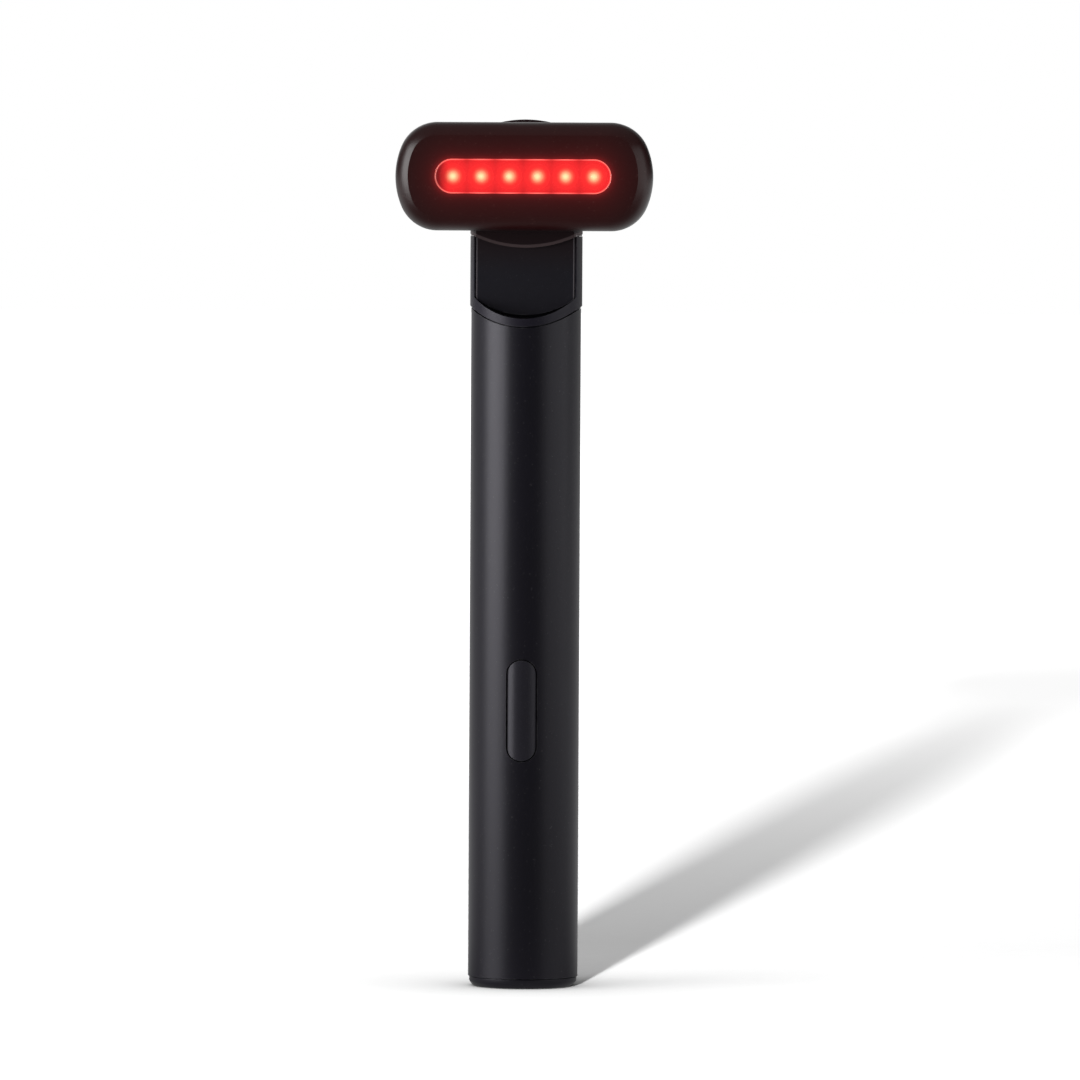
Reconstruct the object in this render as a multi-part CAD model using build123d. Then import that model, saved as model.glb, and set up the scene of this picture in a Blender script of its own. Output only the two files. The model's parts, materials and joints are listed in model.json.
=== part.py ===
from build123d import *
import math
import os

# A heated massage wand: a bar-shaped treatment head with a lit window, on a slim round handle.
# Millimetres. +Z runs up the wand, -Y is its front, and the origin is the middle of the flat foot.

# ---- driving dimensions -------------------------------------------------------------------

# where things stand up the wand
tube_start_z = 1.8            # the tube's lower end, above the foot cap
button_z = 49.4               # middle of the button
swivel_z = 143.8              # middle of the head, and the axis it swivels about

# handle tube
tube_diameter = 19.5
tube_wall = 1.2
tube_top_scoop = 15.4         # radius of its scooped upper end, seen from the front
tube_edge = 0.12              # chamfer on its outer edges

# foot cap
foot_inset = 0.2              # how far it stands in from the tube
foot_bevel_width = 1.1
foot_bevel_height = 0.95
foot_bevel_round = 1.75
foot_mouth_chamfer = 0.3      # round the socket's opening
foot_collar_top_z = 7.4
foot_collar_wall = 1.8

# ring seals in the foot collar and the neck plug
seal_section = 1.0
seal_groove_depth = 1.0
seal_groove_width = 1.3
seal_from_end = 2.75          # from the end of its collar or plug
seal_slack = 0.02

# charging socket, in the middle of the foot
socket_width = 8.94
socket_depth = 3.26
socket_mouth_z = 0.6
socket_top_z = 7.6
socket_back = 1.8             # thickness of what closes its inner end
socket_sheet = 0.3
socket_sleeve_wall = 0.9
socket_sleeve_step = 2.0      # how far short of the socket it stops
tongue_width = 6.7
tongue_thickness = 0.7
tongue_recess = 0.8
tongue_root_length = 1.2
tongue_root_lip = 0.3
tongue_root_thickness = 1.8
charge_board_thickness = 1.0

# button
button_length = 17.8
button_width = 5.1
button_stand = 0.15           # how far the cap stands proud of the tube
button_travel = 0.5
button_flange_lip = 0.7       # how far the flange reaches past the cap all round
button_flange_thickness = 0.8
button_edge_round = 0.4
button_stem_radius = 1.1
plunger_radius = 1.0
guide_wall = 0.8

# electronics in the handle
board_thickness = 1.0
board_corner = 1.0
board_low_z = 14.0
board_past_button = 21.0      # from the button's middle to the board's upper end
board_past_cell = 14.6        # and at least this far above the cell
board_front_y = -4.2
board_screw_from_end = 4.0
board_screw_radius = 0.6
board_screw_head_radius = 1.4
board_screw_head = 0.8
screw_end_wall = 0.3          # what is left of the wall beyond a blind screw hole
chip_size = 4.0
chip_height = 0.9
chip_from_end = 5.8
charger_size = 3.0
charger_height = 0.8
charger_from_end = 9.0
coil_radius = 2.0
coil_height = 1.8
coil_x = 3.0
connector_width = 3.1
connector_length = 4.3
connector_height = 1.6
connector_from_end = 1.2
switch_size = 4.5
switch_height = 1.2
switch_well = 0.8
cell_diameter = 10.0
cell_length = 44.0
cell_low_z = 11.4
cell_nub_radius = 1.9
cell_nub_height = 0.7
cell_edge_round = 0.5
cell_end_gap = 0.3
tab_width = 3.0
tab_thickness = 0.15
tab_reach = 1.5               # past the cell's own axis
chassis_wall = 0.9
rail_width = 1.65
rail_depth = 3.8
rail_wall = 0.2
rail_overlap = 0.94           # how far the board lies on each rail
bulkhead_thickness = 1.2
bridge_thickness = 2.4
bridge_width = 6.0
chassis_below_neck = 2.0

# leads
lead_radius = 0.9
lead_way_radius = 1.6
head_lead_radius = 1.4
lead_from_board = 1.6
lead_start = 0.6              # above the board's upper end
lead_rise = 8.0
lead_crossing = 10.0
lead_bend = 1.2
lead_end_gap = 0.4
lead_past_shaft = 0.2
lead_wall_gap = 0.5

# vibration motor
motor_diameter = 6.0
motor_length = 12.0
motor_above_plug_end = 1.6
motor_edge_round = 0.4
motor_boss_radius = 1.2
motor_boss_height = 0.3
motor_shaft_radius = 0.5
motor_shaft_depth = 8.0       # how much of the shaft is inside the can
weight_radius = 2.8
weight_length = 3.4
weight_from_motor = 0.8
weight_hub = 0.9              # how far the weight reaches past its own axis
sleeve_from_end = 0.8
sleeve_notch_slack = 0.6

# neck
neck_stand = 0.2              # how far it stands proud of the tube
neck_plug_length = 18.6
neck_plug_wall = 1.85
ring_height = 1.5             # of the ring between the tube and the recess, at the front
recess_wall = 1.2             # left below the recess, above the plug's bore
recess_scoop_past_neck = 2.7  # how much larger than the neck's radius its lower wall's is
recess_face_y = -4.0          # the plane that the neck's front is cut back to
recess_beyond_head = 2.35     # room below the bar's end when it hangs in line with the handle
cheek_rise = 1.7              # from the housing's lowest point up to the cheeks' tops
panel_margin = 0.416          # from the cheeks' outer edges to the panel's
panel_sink = 0.3              # how far the panel lies below the recess's rim
panel_thickness = 1.1
panel_above_ring = 0.6
panel_scoop_past_recess = 2.0
panel_corner = 0.8
panel_edge_round = 0.3

# swivel housing, the top of the neck
housing_stand = 0.8           # how far its flat front stands forward of the recess's rim
housing_drop = 12.2           # from the swivel's axis down to its lowest point
housing_low_scoop = 19.5
housing_rise = 10.15          # and up to its highest
housing_high_crown = 20.0
housing_wall = 1.5
housing_floor = 2.2
cover_tongue = 0.8
cover_tongue_reach = 1.0
cover_tongue_from_end = 0.6
housing_split_y = 1.0
housing_chamfer = 0.45
spigot_length = 7.0
spigot_wall = 1.3

# swivel shaft and what keeps it
shaft_diameter = 7.0
shaft_bore = 4.6
shaft_flange_lip = 2.5
shaft_flange_thickness = 1.2
shaft_flat_depth = 0.5
shaft_groove_depth = 0.6
shaft_past_clip = 0.4
flange_screw_radius = 0.7
flange_screw_head_radius = 1.15
flange_screw_head = 0.6
bearing_length = 4.0
bearing_wall = 2.0
washer_width = 1.25
washer_thickness = 0.4
index_plate_lip = 1.7         # past the shaft, all round
index_plate_thickness = 0.8
index_lug_reach = 1.1         # past the plate
index_lug_width = 3.0
stop_rib_width = 1.4
clip_lip = 1.5
clip_thickness = 0.6
clip_mouth = 3.8
clip_slack = 0.02

# treatment head
head_length = 45.4
head_height = 19.15
head_depth = 9.2
head_end_radius = 13.7
head_corner_radius = 6.9
head_rim_round = 2.4
head_back_round = 1.6
head_wall = 1.2
head_back_wall = 1.3
rear_shell_depth = 3.9
lip_wall = 0.8
lip_length = 1.2

# lit window
led_count = 6
led_pitch = 4.97
led_size = 2.2
led_height = 0.6
led_dome_radius = 0.9
window_past_leds = 3.1        # from the outer lights' middles to the window's ends
window_height = 6.0
window_flange_lip = 1.2
window_flange_thickness = 0.7
window_sink = 0.05
tray_lip = 0.8
tray_depth = 1.55
well_front_diameter = 4.6
well_back_diameter = 3.6
led_board_thickness = 1.0
led_board_inset = 2.4         # from the head's outline
heater_thickness = 0.2
heater_inset = 2.7
heater_past_flange = 0.4
sensor_size = (1.6, 0.6, 1.0)
sensor_above_axis = 5.9
post_radius = 1.6
post_from_end = 4.2
post_screw_radius = 0.55
post_screw_head_radius = 1.3
post_screw_head = 0.7
post_screw_length = 1.6

# clearances
seam_gap = 0.15               # visible seams between fixed pieces
press_gap = 0.05              # pieces pushed or glued together
slide_gap = 0.2               # round the button, all round
running_gap = 0.05            # radial, round the swivel shaft
turning_gap = 0.3             # between faces that turn past each other
stack_gap = 0.1               # each side of the friction washer

# ---- sizes worked out from these ----------------------------------------------------------

# head, from back to front
housing_front_y = recess_face_y - housing_stand
head_back_y = housing_front_y - turning_gap
head_seam_y = head_back_y - rear_shell_depth
head_front_y = head_back_y - head_depth
head_inner_back_y = head_back_y - head_back_wall
head_inner_front_y = head_front_y + head_wall
lens_flange_front_y = head_inner_front_y + press_gap
tray_front_y = lens_flange_front_y + window_flange_thickness + press_gap
led_board_front_y = tray_front_y + tray_depth + press_gap
led_board_back_y = led_board_front_y + led_board_thickness
end_arc_x = head_length / 2 - head_end_radius
window_length = (led_count - 1) * led_pitch + 2 * window_past_leds
post_x = head_length / 2 - post_from_end
lip_inset = head_wall + press_gap

# heights
recess_low_z = swivel_z - head_length / 2 - recess_beyond_head
tube_top_z = recess_low_z - ring_height
neck_plug_low_z = tube_top_z - neck_plug_length
motor_low_z = neck_plug_low_z + motor_above_plug_end
motor_high_z = motor_low_z + motor_length
weight_low_z = motor_high_z + weight_from_motor
chassis_high_z = neck_plug_low_z - chassis_below_neck
housing_low_z = swivel_z - housing_drop
housing_high_z = swivel_z + housing_rise
cheek_top_z = housing_low_z + cheek_rise
cell_high_z = cell_low_z + cell_length
board_high_z = max(button_z + board_past_button, cell_high_z + board_past_cell)
board_screw_z = board_high_z - board_screw_from_end
socket_floor_z = socket_top_z - socket_back
charge_board_low_z = socket_top_z + press_gap
charge_board_high_z = charge_board_low_z + charge_board_thickness
chassis_low_z = charge_board_high_z + seam_gap
foot_seal_z = foot_collar_top_z - seal_from_end
neck_seal_z = neck_plug_low_z + seal_from_end

# handle, across
tube_radius = tube_diameter / 2
tube_bore_radius = tube_radius - tube_wall
foot_radius = tube_radius - foot_inset
plug_radius = tube_bore_radius - press_gap
plug_bore_radius = plug_radius - neck_plug_wall
board_back_y = board_front_y + board_thickness
chassis_radius = tube_bore_radius - seam_gap
chassis_bore_radius = chassis_radius - chassis_wall
rail_x = math.sqrt(chassis_radius ** 2 - board_back_y ** 2) - rail_width
board_width = 2 * (rail_x + rail_overlap)
cell_y = chassis_bore_radius - stack_gap - cell_diameter / 2
lead_y = plug_bore_radius - lead_radius - lead_wall_gap
switch_top_y = board_front_y - switch_height
plunger_top_y = switch_top_y - button_travel - stack_gap
button_face_radius = tube_radius + button_stand
slot_length = button_length + 2 * slide_gap
slot_width = button_width + 2 * slide_gap
flange_width = button_width + 2 * button_flange_lip
flange_length = button_length + 2 * button_flange_lip
flange_front_y = -math.sqrt(tube_bore_radius ** 2 - (flange_width / 2) ** 2) + turning_gap
flange_back_y = flange_front_y + button_flange_thickness

# neck, across
neck_radius = tube_radius + neck_stand
neck_inner_radius = neck_radius - housing_wall
recess_scoop = neck_radius + recess_scoop_past_neck
panel_scoop = recess_scoop + panel_scoop_past_recess
panel_half_width = math.sqrt(neck_radius ** 2 - recess_face_y ** 2) - panel_margin
panel_front_y = recess_face_y + panel_sink
panel_back_y = panel_front_y + panel_thickness
panel_low_z = recess_low_z + panel_above_ring
pocket_floor_y = panel_back_y + press_gap
neck_inner_wall_y = pocket_floor_y + housing_wall - seam_gap
spigot_radius = neck_inner_radius - seam_gap
spigot_wall_y = neck_inner_wall_y + seam_gap
housing_floor_z = housing_low_z + housing_floor
housing_roof_z = (
    housing_high_z - housing_high_crown
    + math.sqrt(housing_high_crown ** 2 - neck_inner_radius ** 2) - housing_wall
)

# swivel, from front to back
shaft_radius = shaft_diameter / 2
shaft_flange_y = head_inner_back_y - press_gap
shaft_flange_front_y = shaft_flange_y - shaft_flange_thickness
bearing_back_y = housing_front_y + bearing_length
washer_front_y = bearing_back_y + stack_gap
index_front_y = washer_front_y + washer_thickness + stack_gap
index_back_y = index_front_y + index_plate_thickness
index_plate_radius = shaft_radius + index_plate_lip
clip_front_y = index_back_y + press_gap
clip_back_y = clip_front_y + clip_thickness
shaft_end_y = clip_back_y + shaft_past_clip
head_leads_end_y = shaft_end_y + lead_past_shaft

FAR = 60.0                    # past any face, for cutting tools
TOP = 3 * FAR                 # above any face


# ---- small building blocks ----------------------------------------------------------------

def rod(radius, low_z, high_z, x=0.0, y=0.0):
    """An upright round bar."""
    base = (Align.CENTER, Align.CENTER, Align.MIN)
    return Pos(x, y, low_z) * Cylinder(radius, high_z - low_z, align=base)


def axle(radius, front_y, back_y, x=0.0, z=0.0):
    """A round bar that runs from front to back."""
    return Pos(x, (front_y + back_y) / 2, z) * Rot(90, 0, 0) * Cylinder(radius, back_y - front_y)


def block(x_range, y_range, z_range):
    """A box between three pairs of limits."""
    low, high = zip(x_range, y_range, z_range)
    size = [b - a for a, b in zip(low, high)]
    middle = [(a + b) / 2 for a, b in zip(low, high)]
    return Pos(*middle) * Box(*size)


def middle_block(width, depth, z_range):
    """A box about the wand's own axis."""
    return block((-width / 2, width / 2), (-depth / 2, depth / 2), z_range)


def on_board(low_x, low_z, width, length, height):
    """A box that stands on the main board's front face."""
    return block((low_x, low_x + width), (board_front_y - height, board_front_y),
                 (low_z, low_z + length))


def front_prism(outline, front_y, back_y):
    """An outline drawn as seen from the front, carried from back_y forward to front_y."""
    plane = Plane(origin=(0, back_y, 0), x_dir=(1, 0, 0), z_dir=(0, -1, 0))
    return extrude(plane * outline, back_y - front_y)


def above_scoop(low_z, radius):
    """All that lies above a scoop: an arc that dips to low_z in the middle."""
    middle = low_z + radius
    return Pos(0, middle) * Circle(radius) + Pos(0, middle + FAR / 2) * Rectangle(2 * radius, FAR)


def below_crown(high_z, radius):
    """All that lies below a crown: an arc that rises to high_z in the middle."""
    middle = high_z - radius
    return Pos(0, middle) * Circle(radius) + Pos(0, middle - FAR / 2) * Rectangle(2 * radius, FAR)


def seal_groove(middle_z):
    """The cut for a ring seal round a plug or collar that fits the tube."""
    low_z, high_z = middle_z - seal_groove_width / 2, middle_z + seal_groove_width / 2
    return rod(FAR, low_z, high_z) - rod(plug_radius - seal_groove_depth, low_z, high_z)


def ring_seal(middle_z):
    """A ring seal that just reaches the tube's bore."""
    section = seal_section / 2
    return Pos(0, 0, middle_z) * Torus(tube_bore_radius - seal_slack - section, section)


def stadium(length, width):
    """A round-ended outline that lies along X, in the middle of the head."""
    return Pos(0, swivel_z) * SlotOverall(length, width)


def bar_outline(inset=0.0):
    """The head's outline: flat sides, bowed ends, and a rounded corner between each pair."""
    half = head_height / 2 - inset
    end = head_end_radius - inset
    corner = head_corner_radius - inset
    corner_z = half - corner
    corner_x = end_arc_x + math.sqrt((end - corner) ** 2 - corner_z ** 2)
    slope = math.atan2(corner_z, corner_x - end_arc_x)
    meet = Vector(end_arc_x + end * math.cos(slope), end * math.sin(slope))
    middle = math.radians(90) / 2 + slope / 2
    bend = Vector(corner_x + corner * math.cos(middle), corner_z + corner * math.sin(middle))

    def at(x, z):
        return (x, swivel_z + z)

    edges = []
    for side in (1, -1):
        edges.append(Line(at(-corner_x, side * half), at(corner_x, side * half)))
        edges.append(ThreePointArc(
            at(side * meet.X, -meet.Y), at(side * (end_arc_x + end), 0), at(side * meet.X, meet.Y)))
        for level in (1, -1):
            edges.append(ThreePointArc(
                at(side * corner_x, level * half),
                at(side * bend.X, level * bend.Y),
                at(side * meet.X, level * meet.Y)))
    return make_face(edges)


def round_edges(solid, y, radius):
    """Rounds the edges of a solid that lie wholly in the plane at y."""
    edges = solid.edges().filter_by_position(Axis.Y, y - 1e-4, y + 1e-4)
    return fillet(edges, radius)


# ---- handle -------------------------------------------------------------------------------

def handle_tube():
    """The drawn tube, scooped at the top, with the button's slot through its front."""
    tube = rod(tube_radius, tube_start_z, cheek_top_z) - rod(tube_bore_radius, 0, cheek_top_z)
    tube -= front_prism(above_scoop(tube_top_z, tube_top_scoop), -FAR, FAR)
    slot = Pos(0, button_z) * SlotOverall(slot_length, slot_width, rotation=90)
    tube -= front_prism(slot, -FAR, -tube_bore_radius / 2)
    outside = tube.faces().sort_by(lambda face: face.area)[-1]
    seam = outside.edges().filter_by(Axis.Z)
    return chamfer(outside.edges() - seam, tube_edge)


def foot_cap():
    """The end cap: a bevelled foot, a collar inside the tube and a sleeve round the socket."""
    flat_radius = foot_radius - foot_bevel_width
    profile = Polyline((flat_radius, 0), (0, 0), (0, tube_start_z), (foot_radius, tube_start_z),
                       (foot_radius, foot_bevel_height))
    profile += RadiusArc((foot_radius, foot_bevel_height), (flat_radius, 0), foot_bevel_round)
    foot = revolve(Plane.XZ * make_face(profile), Axis.Z)
    collar = rod(plug_radius, tube_start_z, foot_collar_top_z)
    collar -= rod(plug_radius - foot_collar_wall, tube_start_z, foot_collar_top_z)
    collar -= seal_groove(foot_seal_z)
    opening = SlotOverall(socket_width + 2 * seam_gap, socket_depth + 2 * seam_gap)
    sleeve = extrude(offset(opening, socket_sleeve_wall), socket_top_z - socket_sleeve_step)
    cap = foot + collar + sleeve - extrude(opening, FAR)
    mouth = cap.faces().sort_by(Axis.Z)[0].inner_wires()[0]
    return chamfer(mouth.edges(), foot_mouth_chamfer)


def foot_seal():
    """The ring seal in the foot collar's groove."""
    return ring_seal(foot_seal_z)


def charging_socket():
    """The socket's folded metal shell, open downwards."""
    shell = SlotOverall(socket_width, socket_depth)
    inside = SlotOverall(socket_width - 2 * socket_sheet, socket_depth - 2 * socket_sheet)
    tube = Pos(0, 0, socket_mouth_z) * extrude(shell, socket_top_z - socket_mouth_z)
    return tube - Pos(0, 0, socket_mouth_z) * extrude(inside, socket_floor_z - socket_mouth_z)


def socket_tongue():
    """The contact tongue, on its root at the back of the socket's shell."""
    low_z = socket_mouth_z + tongue_recess
    tongue = middle_block(tongue_width, tongue_thickness, (low_z, socket_floor_z))
    root = middle_block(tongue_width + 2 * tongue_root_lip, tongue_root_thickness,
                        (socket_floor_z - tongue_root_length, socket_floor_z))
    return tongue + root


def charge_board():
    """The round board that carries the socket."""
    return rod(chassis_radius - seam_gap, charge_board_low_z, charge_board_high_z)


# ---- electronics in the handle ------------------------------------------------------------

def inner_chassis():
    """The carrier inside the tube: rails for the board, and bulkheads either side of the cell."""
    in_front = block((-FAR, FAR), (-FAR, board_back_y), (0, TOP))
    carrier = rod(chassis_radius, chassis_low_z, chassis_high_z) - in_front
    rails = block((-FAR, FAR), (-FAR, board_back_y + rail_depth), (0, TOP))
    rails -= block((-rail_x, rail_x), (-FAR, FAR), (0, TOP))
    cell_bay_low_z = cell_low_z - cell_end_gap
    cell_bay_high_z = cell_high_z + seam_gap
    bays = (
        (chassis_low_z, cell_bay_low_z - bulkhead_thickness),
        (cell_bay_low_z, cell_bay_high_z),
        (cell_bay_high_z + bulkhead_thickness, chassis_high_z - bulkhead_thickness),
    )
    for low_z, high_z in bays:
        carrier -= rod(chassis_bore_radius, low_z, high_z) - rails
    bridge_back_y = board_back_y + bridge_thickness
    carrier += block((-rail_x - rail_wall, rail_x + rail_wall), (board_back_y, bridge_back_y),
                     (board_screw_z - bridge_width / 2, board_screw_z + bridge_width / 2))
    carrier -= axle(board_screw_radius + press_gap, -FAR, bridge_back_y - screw_end_wall,
                    z=board_screw_z)
    return carrier - rod(lead_way_radius, 0, TOP, y=lead_y)


def main_board():
    """The circuit board, on the chassis rails, facing the button."""
    board = block((-board_width / 2, board_width / 2), (board_front_y, board_back_y),
                  (board_low_z, board_high_z))
    board = fillet(board.edges().filter_by(Axis.Y), board_corner)
    return board - axle(board_screw_radius + turning_gap, -FAR, FAR, z=board_screw_z)


def board_components():
    """The larger parts on the board: control chip, charge chip, coil and lead connector."""
    chip_low_z = board_high_z - chip_from_end - chip_size
    charger_low_z = board_low_z + charger_from_end
    connector_x = -rail_x + seam_gap
    connector_high_z = board_high_z - connector_from_end
    return Compound([
        on_board(-chip_size / 2, chip_low_z, chip_size, chip_size, chip_height),
        on_board(-rail_x + seam_gap, charger_low_z, charger_size, charger_size, charger_height),
        axle(coil_radius, board_front_y - coil_height, board_front_y,
             x=coil_x, z=charger_low_z + coil_radius),
        on_board(connector_x, connector_high_z - connector_length, connector_width,
                 connector_length, connector_height),
    ])


def board_screw():
    """The pan-head screw that holds the board to the chassis bridge."""
    head = axle(board_screw_head_radius, board_front_y - board_screw_head, board_front_y,
                z=board_screw_z)
    end_y = board_back_y + bridge_thickness - screw_end_wall - press_gap
    return head + axle(board_screw_radius, board_front_y, end_y, z=board_screw_z)


def battery_cell():
    """The round lithium cell in the chassis, with its raised positive end."""
    shoulder_z = cell_high_z - cell_nub_height - seam_gap
    can = rod(cell_diameter / 2, cell_low_z, shoulder_z, y=cell_y)
    can = fillet(can.edges().filter_by(GeomType.CIRCLE), cell_edge_round)
    return can + rod(cell_nub_radius, shoulder_z, shoulder_z + cell_nub_height, y=cell_y)


def battery_tabs():
    """The nickel strips from each end of the cell to the board's rear face."""
    y_range = (board_back_y + stack_gap, cell_y + tab_reach)
    low_z = cell_low_z - tab_thickness - press_gap
    high_z = cell_high_z - seam_gap + press_gap
    half = tab_width / 2
    return Compound([
        block((-half, half), y_range, (z, z + tab_thickness)) for z in (low_z, high_z)])


def switch_body():
    """The tact switch's case, under the middle of the button."""
    case = on_board(-switch_size / 2, button_z - switch_size / 2, switch_size, switch_size,
                    switch_height)
    return case - axle(plunger_radius + slide_gap, switch_top_y, switch_top_y + switch_well,
                       z=button_z)


def button_guide():
    """The frame on the board that keeps the button's flange square."""
    inner = Pos(0, button_z) * SlotOverall(
        flange_length + 2 * slide_gap, flange_width + 2 * slide_gap, rotation=90)
    frame = offset(inner, guide_wall) - inner
    guide = front_prism(frame, flange_front_y + slide_gap, board_front_y)
    return guide & rod(chassis_radius, 0, TOP)


def button_cap():
    """The button: a crowned cap in the slot, a flange that keeps it in, and a stem."""
    outline = Pos(0, button_z) * SlotOverall(button_length, button_width, rotation=90)
    cap = front_prism(outline, -FAR, flange_front_y) & rod(button_face_radius, 0, TOP)
    crown = cap.faces().sort_by(Axis.Y)[0]
    cap = fillet(crown.edges(), button_edge_round)
    flange = Pos(0, button_z) * SlotOverall(flange_length, flange_width, rotation=90)
    cap += front_prism(flange, flange_front_y, flange_back_y)
    return cap + axle(button_stem_radius, flange_back_y, plunger_top_y, z=button_z)


def switch_plunger():
    """The switch's own button, which the stem rests on."""
    return axle(plunger_radius, plunger_top_y, switch_top_y + seam_gap, z=button_z)


# ---- vibration motor ----------------------------------------------------------------------

def vibration_motor():
    """The motor's can, with a short bearing boss round its shaft."""
    can = rod(motor_diameter / 2, motor_low_z, motor_high_z)
    can = fillet(can.edges().filter_by(GeomType.CIRCLE), motor_edge_round)
    can += rod(motor_boss_radius, motor_high_z, motor_high_z + motor_boss_height)
    return can - rod(motor_shaft_radius + running_gap, motor_high_z - motor_shaft_depth, TOP)


def motor_shaft():
    """The motor's output shaft."""
    return rod(motor_shaft_radius, motor_high_z - motor_shaft_depth + slide_gap,
               weight_low_z + weight_length + slide_gap)


def eccentric_weight():
    """The half-round weight on the motor's shaft."""
    weight = rod(weight_radius, weight_low_z, weight_low_z + weight_length)
    weight -= block((-FAR, FAR), (-FAR, -weight_hub), (0, TOP))
    return weight - rod(motor_shaft_radius, 0, TOP)


def motor_sleeve():
    """The rubber sleeve that holds the motor in the neck plug, notched for the leads."""
    sleeve = rod(plug_bore_radius - press_gap, motor_low_z + sleeve_from_end,
                 motor_high_z - sleeve_from_end)
    sleeve -= rod(motor_diameter / 2 + press_gap, 0, TOP)
    notch = lead_radius + sleeve_notch_slack
    return sleeve - block((-notch, notch), (lead_y - notch, FAR), (0, TOP))


# ---- neck ---------------------------------------------------------------------------------

def neck_frame():
    """The neck moulding: a plug in the tube, the scooped ring, and cheeks either side of a recess."""
    frame = rod(neck_radius, tube_start_z, cheek_top_z)
    frame &= front_prism(above_scoop(tube_top_z + seam_gap, tube_top_scoop - seam_gap), -FAR, FAR)
    frame += rod(plug_radius, neck_plug_low_z, recess_low_z) - seal_groove(neck_seal_z)
    frame -= front_prism(above_housing(seam_gap), -FAR, FAR)
    recess = above_scoop(recess_low_z, recess_scoop)
    frame -= front_prism(recess, -FAR, recess_face_y)
    pocket = recess & Pos(0, cheek_top_z) * Rectangle(2 * (panel_half_width + slide_gap), FAR)
    frame -= front_prism(pocket, recess_face_y, pocket_floor_y)
    frame -= rod(plug_bore_radius, neck_plug_low_z, recess_low_z - recess_wall)
    upper = rod(neck_inner_radius, recess_low_z - recess_wall, TOP)
    return frame - (upper - block((-FAR, FAR), (-FAR, neck_inner_wall_y), (0, TOP)))


def neck_seal():
    """The ring seal in the neck plug's groove."""
    return ring_seal(neck_seal_z)


def neck_panel():
    """The flat inlay that fills the recess under the head."""
    outline = above_scoop(panel_low_z, panel_scoop)
    outline &= Pos(0, cheek_top_z) * Rectangle(2 * panel_half_width, FAR)
    outline -= above_housing(seam_gap)
    outline = fillet(outline.vertices().sort_by(Axis.Y)[:2], panel_corner)
    panel = front_prism(outline, panel_front_y, panel_back_y)
    return round_edges(panel, panel_front_y, panel_edge_round)


# ---- swivel housing -----------------------------------------------------------------------

def above_housing(gap=0.0):
    """All that lies above the housing's lower end, or above a line that clears it by a gap."""
    return above_scoop(housing_low_z - gap, housing_low_scoop + gap)


def housing_form():
    """The swivel housing's whole outside, before it is split into a body and a rear cover."""
    form = rod(neck_radius, 0, TOP)
    form -= block((-FAR, FAR), (-FAR, housing_front_y), (0, TOP))
    outline = above_housing() & below_crown(housing_high_z, housing_high_crown)
    form &= front_prism(outline, -FAR, FAR)
    ends = form.edges().filter_by(lambda edge: not edge.is_closed and abs(
        edge.tangent_at(0.5).Z) < 0.9)
    return chamfer(ends, housing_chamfer)


def housing_hollow():
    """The space inside the swivel housing."""
    hollow = rod(neck_inner_radius, housing_floor_z, housing_roof_z)
    return hollow - block((-FAR, FAR), (-FAR, housing_front_y + housing_wall), (0, TOP))


def rear_half():
    """The region that the rear cover takes: behind the split and above the floor."""
    return block((-FAR, FAR), (housing_split_y, FAR), (housing_floor_z, TOP))


def swivel_housing():
    """The housing body: floor, front wall, the head's bearing, stop rib, and a spigot below."""
    body = housing_form() - housing_hollow() - rear_half()
    front = block((-FAR, FAR), (-FAR, spigot_wall_y), (0, TOP))
    body += rod(spigot_radius, housing_low_z - spigot_length, housing_floor_z) - front
    way = rod(spigot_radius - spigot_wall, 0, TOP)
    way -= block((-FAR, FAR), (-FAR, spigot_wall_y + spigot_wall), (0, TOP))
    body -= way & rod(FAR, 0, housing_floor_z)
    body += axle(shaft_radius + bearing_wall, housing_front_y, bearing_back_y, z=swivel_z)
    rib_radius = index_plate_radius + turning_gap
    rib = axle(rib_radius + stop_rib_width, housing_front_y + housing_wall / 2, index_back_y,
               z=swivel_z)
    rib -= axle(rib_radius, -FAR, FAR, z=swivel_z)
    rib_low_z = swivel_z + index_lug_width / 2 + slide_gap
    body += rib - block((-FAR, FAR), (-FAR, FAR), (0, rib_low_z))
    return body - axle(shaft_radius + running_gap, -FAR, FAR, z=swivel_z)


def housing_cover():
    """The rear cover of the swivel housing, with the tongue that locates it in the body."""
    cover = (housing_form() - housing_hollow()) & rear_half()
    low_z, high_z = housing_floor_z + cover_tongue_from_end, housing_roof_z - cover_tongue_from_end
    ring = rod(neck_radius - press_gap - housing_wall / 2, low_z, high_z)
    ring -= rod(neck_inner_radius - cover_tongue, low_z, high_z)
    root = block((-FAR, FAR), (housing_split_y, housing_split_y + housing_wall), (0, TOP))
    tip = block((-FAR, FAR), (housing_split_y - cover_tongue_reach, housing_split_y), (0, TOP))
    tip &= rod(neck_inner_radius - press_gap, 0, TOP)
    return cover + (ring & (root + tip))


def friction_washer():
    """The spring washer that gives the swivel its drag."""
    washer = axle(shaft_radius + seam_gap + washer_width, washer_front_y,
                  washer_front_y + washer_thickness, z=swivel_z)
    return washer - axle(shaft_radius + seam_gap, -FAR, FAR, z=swivel_z)


# ---- swivel shaft -------------------------------------------------------------------------

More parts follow.
